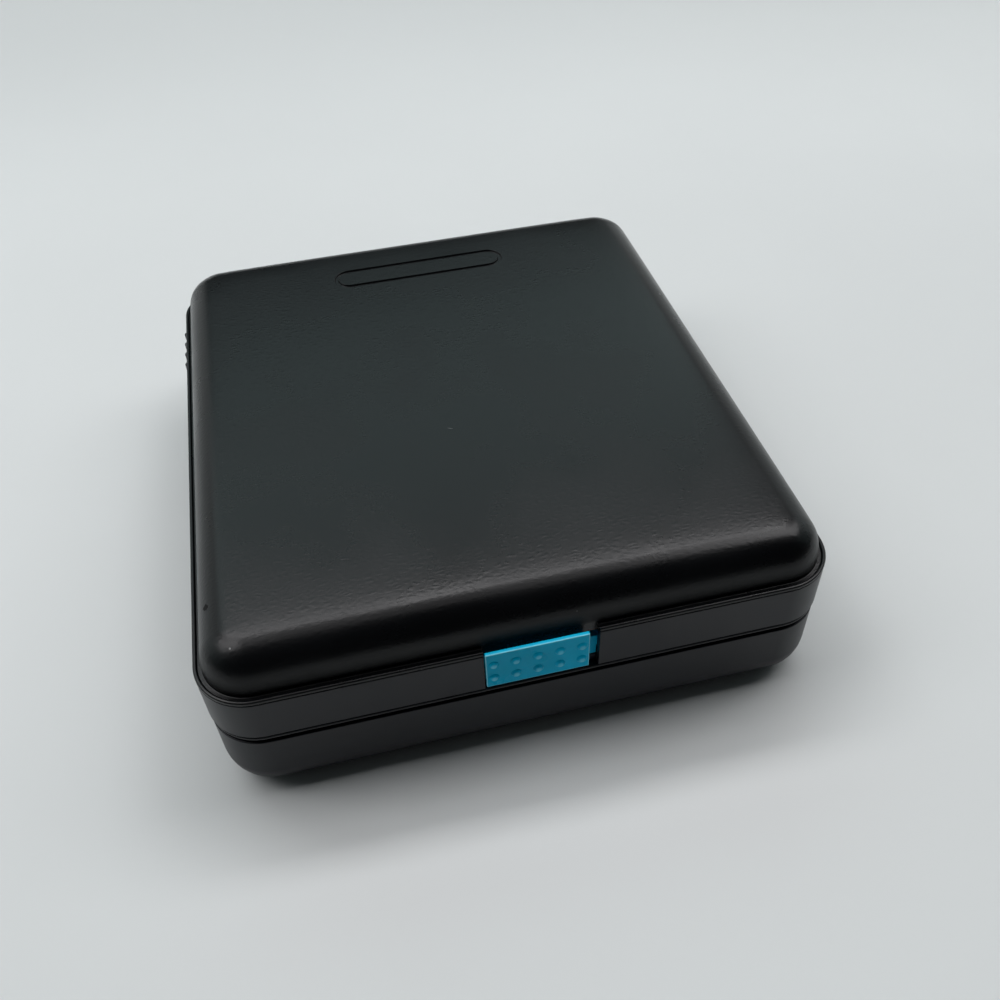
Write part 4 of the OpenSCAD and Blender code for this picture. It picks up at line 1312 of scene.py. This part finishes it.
class CASE_OT_leaves(bpy.types.Operator):
    """Make the twelve bound sheets, each with a clear pocket on both faces"""

    bl_idname = "case.leaves"
    bl_label = "Leaves"

    def execute(self, context):
        stub_low, stub_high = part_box("leaf_stubs")
        for number, body in enumerate(LEAVES):
            self.sheet(body, number, stub_low, stub_high)
            self.films(body, number)
        return {"FINISHED"}

    def sheet(self, body, number, stub_low, stub_high):
        """One sheet with its bound margin, which narrows at the fold"""
        low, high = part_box(body + "_sheet")
        corner, fold_back, thick = 0.005, 0.0004, high.z - low.z
        fold = JOINTS[body + "_turn"]["pos_m"][1]
        middle = (low.z + high.z) / 2
        turns = np.linspace(0, math.pi / 2, 7)
        rows = list(low.y + corner * (1 - np.cos(turns)))
        rows += list(np.linspace(rows[-1], fold - corner, 30)[1:])
        rows += list(fold - corner + (corner - 0.0008) * np.sin(turns[1:]))
        rows += list(np.linspace(fold - 0.0006, stub_low.y + fold_back, 9))
        rows += list(np.linspace(stub_low.y + 0.0012, stub_high.y, 6))
        columns = np.linspace(-1, 1, 33)

        def half_width(y):
            """Half the sheet's width at a place, narrowed at its corners and towards the margin"""
            if y < low.y + corner:
                return high.x - corner + math.sqrt(max(corner**2 - (low.y + corner - y) ** 2, 0))
            narrow = np.clip((y - (fold - corner)) / (corner - 0.0008), 0, 1)
            return high.x - (high.x - stub_high.x) * (1 - math.sqrt(max(1 - narrow**2, 0)))

        across = np.array([[u * half_width(y) for u in columns] for y in rows])
        along = np.repeat(np.array(rows)[:, None], len(columns), 1)
        free = np.clip((fold - 0.01 - along) / 0.05, 0, 1)
        wave = 0.00009 * free * np.sin(across * 61 + number) * np.sin(along * 43 + 2 * number)
        half = thick / 2 - 0.00003
        top = np.stack([across, along, middle + half + wave], 2).reshape(-1, 3)
        under = np.stack([across, along, middle - half + wave], 2).reshape(-1, 3)
        count, wide = len(rows), len(columns)
        size = count * wide
        faces = []
        for i in range(count - 1):
            for j in range(wide - 1):
                a = i * wide + j
                faces.append((a, a + 1, a + 1 + wide, a + wide))
                faces.append((a + size, a + wide + size, a + 1 + wide + size, a + 1 + size))
        border = [*range(wide)] + [i * wide + wide - 1 for i in range(1, count)]
        border += [size - 1 - j for j in range(1, wide)] + [i * wide for i in range(count - 2, 0, -1)]
        faces += [(a, b, b + size, a + size) for a, b in zip(border, border[1:] + border[:1])]
        sheet = from_faces(body + "_cloth", [*top, *under], faces)
        smooth(sheet)
        sheet.data.materials.clear()
        sheet.data.materials.append(bpy.data.materials["sheet_fabric"])
        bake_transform(sheet)
        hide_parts(body + "_sheet", "leaf_stubs")

    def films(self, body, number):
        """The clear films on both faces of a sheet, swollen a little and with a thumb notch"""
        low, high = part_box(body + "_pockets")
        sheet_low, sheet_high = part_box(body + "_sheet")
        corner, thumb_r, spacing, thick = 0.003, 0.011, 0.004, 0.00012
        room = sheet_low.z - low.z - thick
        notch = math.ceil(math.pi * thumb_r / 0.0015)
        corners = [(low.x, low.y), (high.x, low.y), (high.x, high.y), (low.x, high.y)]
        outline = self.along(rounded([(*place, corner) for place in corners]), spacing)
        thumb = [(thumb_r * math.cos(a), high.y - thumb_r * math.sin(a))
                 for a in np.linspace(0, math.pi, notch + 1)]
        outline = [p for p in outline if not (abs(p[0]) < thumb_r + 0.0005 and abs(p[1] - high.y) < 1e-5)]
        cut = next(i for i, p in enumerate(outline) if abs(p[1] - high.y) < 1e-5 and p[0] < -thumb_r)
        outline = outline[:cut] + thumb + outline[cut:]
        points = list(outline)
        for x in np.arange(low.x + spacing, high.x - spacing / 2, spacing):
            for y in np.arange(low.y + spacing, high.y - spacing / 2, spacing):
                if math.hypot(x, y - high.y) > thumb_r + spacing * 0.5:
                    points.append((x, y))
        count = len(outline)
        made, _, faces, _, _, _ = delaunay_2d_cdt(
            [Vector(p) for p in points], [(i, (i + 1) % count) for i in range(count)], [], 1, 1e-7)
        flat = np.array([tuple(p) for p in made])
        share = np.clip(1 - (flat[:, 0] / high.x) ** 4, 0, 1)
        depth = np.clip((flat[:, 1] - low.y) / 0.012, 0, 1) ** 0.7
        swell = room * 0.9 * share * depth * (0.85 + 0.15 * np.sin(flat[:, 0] * 90 + number * 2))
        sides = []
        for name, base, way in ((body + "_under", sheet_low.z, -1), (body + "_over", sheet_high.z, 1)):
            heights = base + way * (0.00002 + swell)
            side = from_faces(name, np.column_stack([flat, heights]), [list(f) for f in faces])
            shell = side.modifiers.new("thick", "SOLIDIFY")
            shell.thickness = thick
            shell.offset = 0
            settle(side)
            sides.append(side)
        film = linked(body + "_films", sides[0].data.copy())
        work = bmesh.new()
        for side in sides:
            work.from_mesh(side.data)
            bpy.data.objects.remove(side)
        bmesh.ops.recalc_face_normals(work, faces=work.faces)
        work.to_mesh(film.data)
        work.free()
        placed(smooth(film), body, "pocket_film", body + "_pockets")

    @staticmethod
    def along(outline, spacing):
        """The outline with points added so that none are further apart than spacing"""
        made = []
        for a, b in zip(outline, outline[1:] + outline[:1]):
            count = max(1, math.ceil(math.dist(a, b) / spacing))
            made += [tuple(p + (q - p) * i / count for p, q in zip(a, b)) for i in range(count)]
        return made


class CASE_OT_stage(bpy.types.Operator):
    """Set the camera, the floor and the lamps"""

    bl_idname = "case.stage"
    bl_label = "Stage"

    def execute(self, context):
        scene, stage = context.scene, context.scene.case_stage
        eye, target = Vector(stage.eye), Vector(stage.target)
        data = bpy.data.cameras.new("camera")
        data.sensor_width = 36
        data.lens = stage.lens
        data.clip_start = 0.01
        data.clip_end = 20
        camera = linked("camera", data)
        camera.location = eye
        camera.rotation_mode = "QUATERNION"
        facing = (target - eye).to_track_quat("-Z", "Y")
        camera.rotation_quaternion = facing @ Quaternion((0, 0, 1), stage.roll)
        scene.camera = camera
        scene.view_settings.view_transform = "Standard"
        self.floor(scene.case_colours, stage.distance)
        plain, cool = (1, 0.985, 1), (0.76, 0.99, 1)
        self.lamp("low_lamp", (-0.1, 1.04, 0.97), (1.8, 0.49), stage.low_power, cool)
        self.lamp("back_lamp", (0, 0.59, 1.30), (1.8, 0.245), stage.back_power, plain, math.radians(-2))
        self.lamp("high_lamp", (0, 0.12, 1.42), (1.8, 0.74), stage.high_power, plain)
        self.lamp("left_lamp", (-0.8, 0.1, 1.1), (0.5, 0.8), stage.left_power, plain)
        self.lamp("right_lamp", (0.8, 0.1, 1.1), (0.5, 0.8), stage.right_power, plain)
        self.lamp("left_wall", (-1.2, 0.1, 0.55), (1.0, 0.8), stage.wall_power, cool)
        self.lamp("right_wall", (1.2, 0.1, 0.55), (1.0, 0.8), stage.wall_power, cool)
        self.world(scene, stage.fill, stage.distance)
        return {"FINISHED"}

    def floor(self, colours, distance):
        """A table that rises behind; far off the camera sees it as pale as near by"""
        half, back, bend, steps = 1.6, 0.36, 1.2, 16
        line = [(-half, 0), (back, 0)]
        for i in range(1, steps + 1):
            angle = math.radians(32) * i / steps
            line.append((back + bend * math.sin(angle), bend * (1 - math.cos(angle))))
        points = [(x, y, z) for y, z in line for x in (-half, half)]
        faces = [(2 * i, 2 * i + 1, 2 * i + 3, 2 * i + 2) for i in range(len(line) - 1)]
        mesh = bpy.data.meshes.new("floor")
        mesh.from_pydata(points, [], faces)
        mesh.shade_smooth()
        floor = linked("floor", mesh)
        tree, shader, place = material("floor_paper", Roughness=0.85)
        shader.inputs["Specular IOR Level"].default_value = 0.2
        across = parts_of(tree, place)[1]
        slow = grouped(tree, "handling", {"Vector": place, "Patch": 0.5})["Value"]
        dark, light = scaled_colour(colours.floor, 0.97), scaled_colour(colours.floor, 1.03)
        uneven = blended(tree, slow, dark, light)
        # Painted shade: the floor's colour is made darker towards the back
        far = scaled_colour(colours.floor, 0.87)
        tree.links.new(blended(tree, ramped(tree, across, 0.2, 0.5), uneven, far),
                       shader.inputs["Base Color"])
        radius = node(tree, "ShaderNodeVectorMath", {0: place}, operation="LENGTH").outputs["Value"]
        seen = self.seen(tree, ramped(tree, across, 0.0, 0.3))
        pale = node(tree, "ShaderNodeEmission", {"Color": (*distance, 1)})
        share = maths(tree, "MULTIPLY", seen, ramped(tree, radius, 0.42, 1.0))
        both = node(tree, "ShaderNodeMixShader", {0: share, 1: shader.outputs[0], 2: pale.outputs[0]})
        finish = next(n for n in tree.nodes if n.type == "OUTPUT_MATERIAL")
        tree.links.new(both.outputs[0], finish.inputs["Surface"])
        mesh.materials.append(bpy.data.materials["floor_paper"])

    @staticmethod
    def seen(tree, mirrored):
        """Rays that see the pale surroundings: mirrored is the share of them that glossy rays see"""
        rays = tree.nodes.new("ShaderNodeLightPath").outputs
        direct = maths(tree, "MAXIMUM", rays["Is Camera Ray"], rays["Is Transmission Ray"])
        return maths(tree, "MAXIMUM", direct, maths(tree, "MULTIPLY", rays["Is Glossy Ray"], mirrored))

    @staticmethod
    def lamp(name, place, size, power, tint, turn=0.0):
        """A soft lamp that faces the middle of the case"""
        target = (0, 0, 0.03)
        data = bpy.data.lights.new(name, "AREA")
        data.shape = "RECTANGLE"
        data.size, data.size_y = size
        data.energy = power
        data.color = tint
        made = linked(name, data)
        made.location = place
        made.rotation_mode = "QUATERNION"
        facing = (Vector(target) - Vector(place)).to_track_quat("-Z", "Y")
        made.rotation_quaternion = facing @ Quaternion((0, 0, 1), turn)

    def world(self, scene, strength, distance):
        """Soft light from all round; the camera sees it as pale as the table.

        Glossy rays see it so low behind the case, to either side, and the dark room elsewhere."""
        world = bpy.data.worlds.new("surroundings")
        scene.world = world
        world.use_nodes = True
        shade = next(n for n in world.node_tree.nodes if n.type == "BACKGROUND")
        tree = world.node_tree
        way = parts_of(tree, tree.nodes.new("ShaderNodeTexCoord").outputs["Generated"])
        beside = ramped(tree, maths(tree, "ABSOLUTE", way[0]), 0.25, 0.5)
        behind = maths(tree, "MULTIPLY", ramped(tree, way[1], 0.0, 0.3), ramped(tree, way[2], 0.65, 0.45))
        seen = self.seen(tree, maths(tree, "MULTIPLY", beside, behind))
        tree.links.new(blended(tree, seen, scaled_colour((0.95, 0.98, 1.0), strength), (*distance, 1)),
                       shade.inputs["Color"])


class CASE_PT_panel(bpy.types.Panel):
    """The sizes, colours and pieces of the case"""

    bl_idname = "CASE_PT_panel"
    bl_label = "Disc wallet case"
    bl_space_type = "VIEW_3D"
    bl_region_type = "UI"
    bl_category = "Case"

    def draw(self, context):
        for name in ("case_sizes", "latch_sizes", "case_colours", "case_stage"):
            group = getattr(context.scene, name)
            box = self.layout.box()
            for key in group.__annotations__:
                box.prop(group, key)
        for operator in OPERATORS:
            self.layout.operator(operator.bl_idname)


GROUPS = {"case_sizes": CaseSizes, "latch_sizes": LatchSizes, "case_colours": CaseColours,
          "case_stage": CaseStage}
OPERATORS = (CASE_OT_finishes, CASE_OT_base_shell, CASE_OT_base_frame, CASE_OT_lid_cover, CASE_OT_lid_frame,
             CASE_OT_hinges, CASE_OT_latch, CASE_OT_screws, CASE_OT_binding, CASE_OT_leaves, CASE_OT_stage)
CLASSES = (*GROUPS.values(), *OPERATORS, CASE_PT_panel)


def register():
    for entry in CLASSES:
        bpy.utils.register_class(entry)
    for name, group in GROUPS.items():
        setattr(bpy.types.Scene, name, PointerProperty(type=group))


def unregister():
    for name in GROUPS:
        delattr(bpy.types.Scene, name)
    for entry in reversed(CLASSES):
        bpy.utils.unregister_class(entry)


def main():
    """Builds every piece and the stage"""
    register()
    bpy.ops.case.finishes()
    bpy.ops.case.base_shell()
    bpy.ops.case.base_frame()
    bpy.ops.case.lid_cover()
    bpy.ops.case.lid_frame()
    bpy.ops.case.hinges()
    bpy.ops.case.latch()
    bpy.ops.case.screws()
    bpy.ops.case.binding()
    bpy.ops.case.leaves()
    bpy.ops.case.stage()


if __name__ == "__main__":
    main()
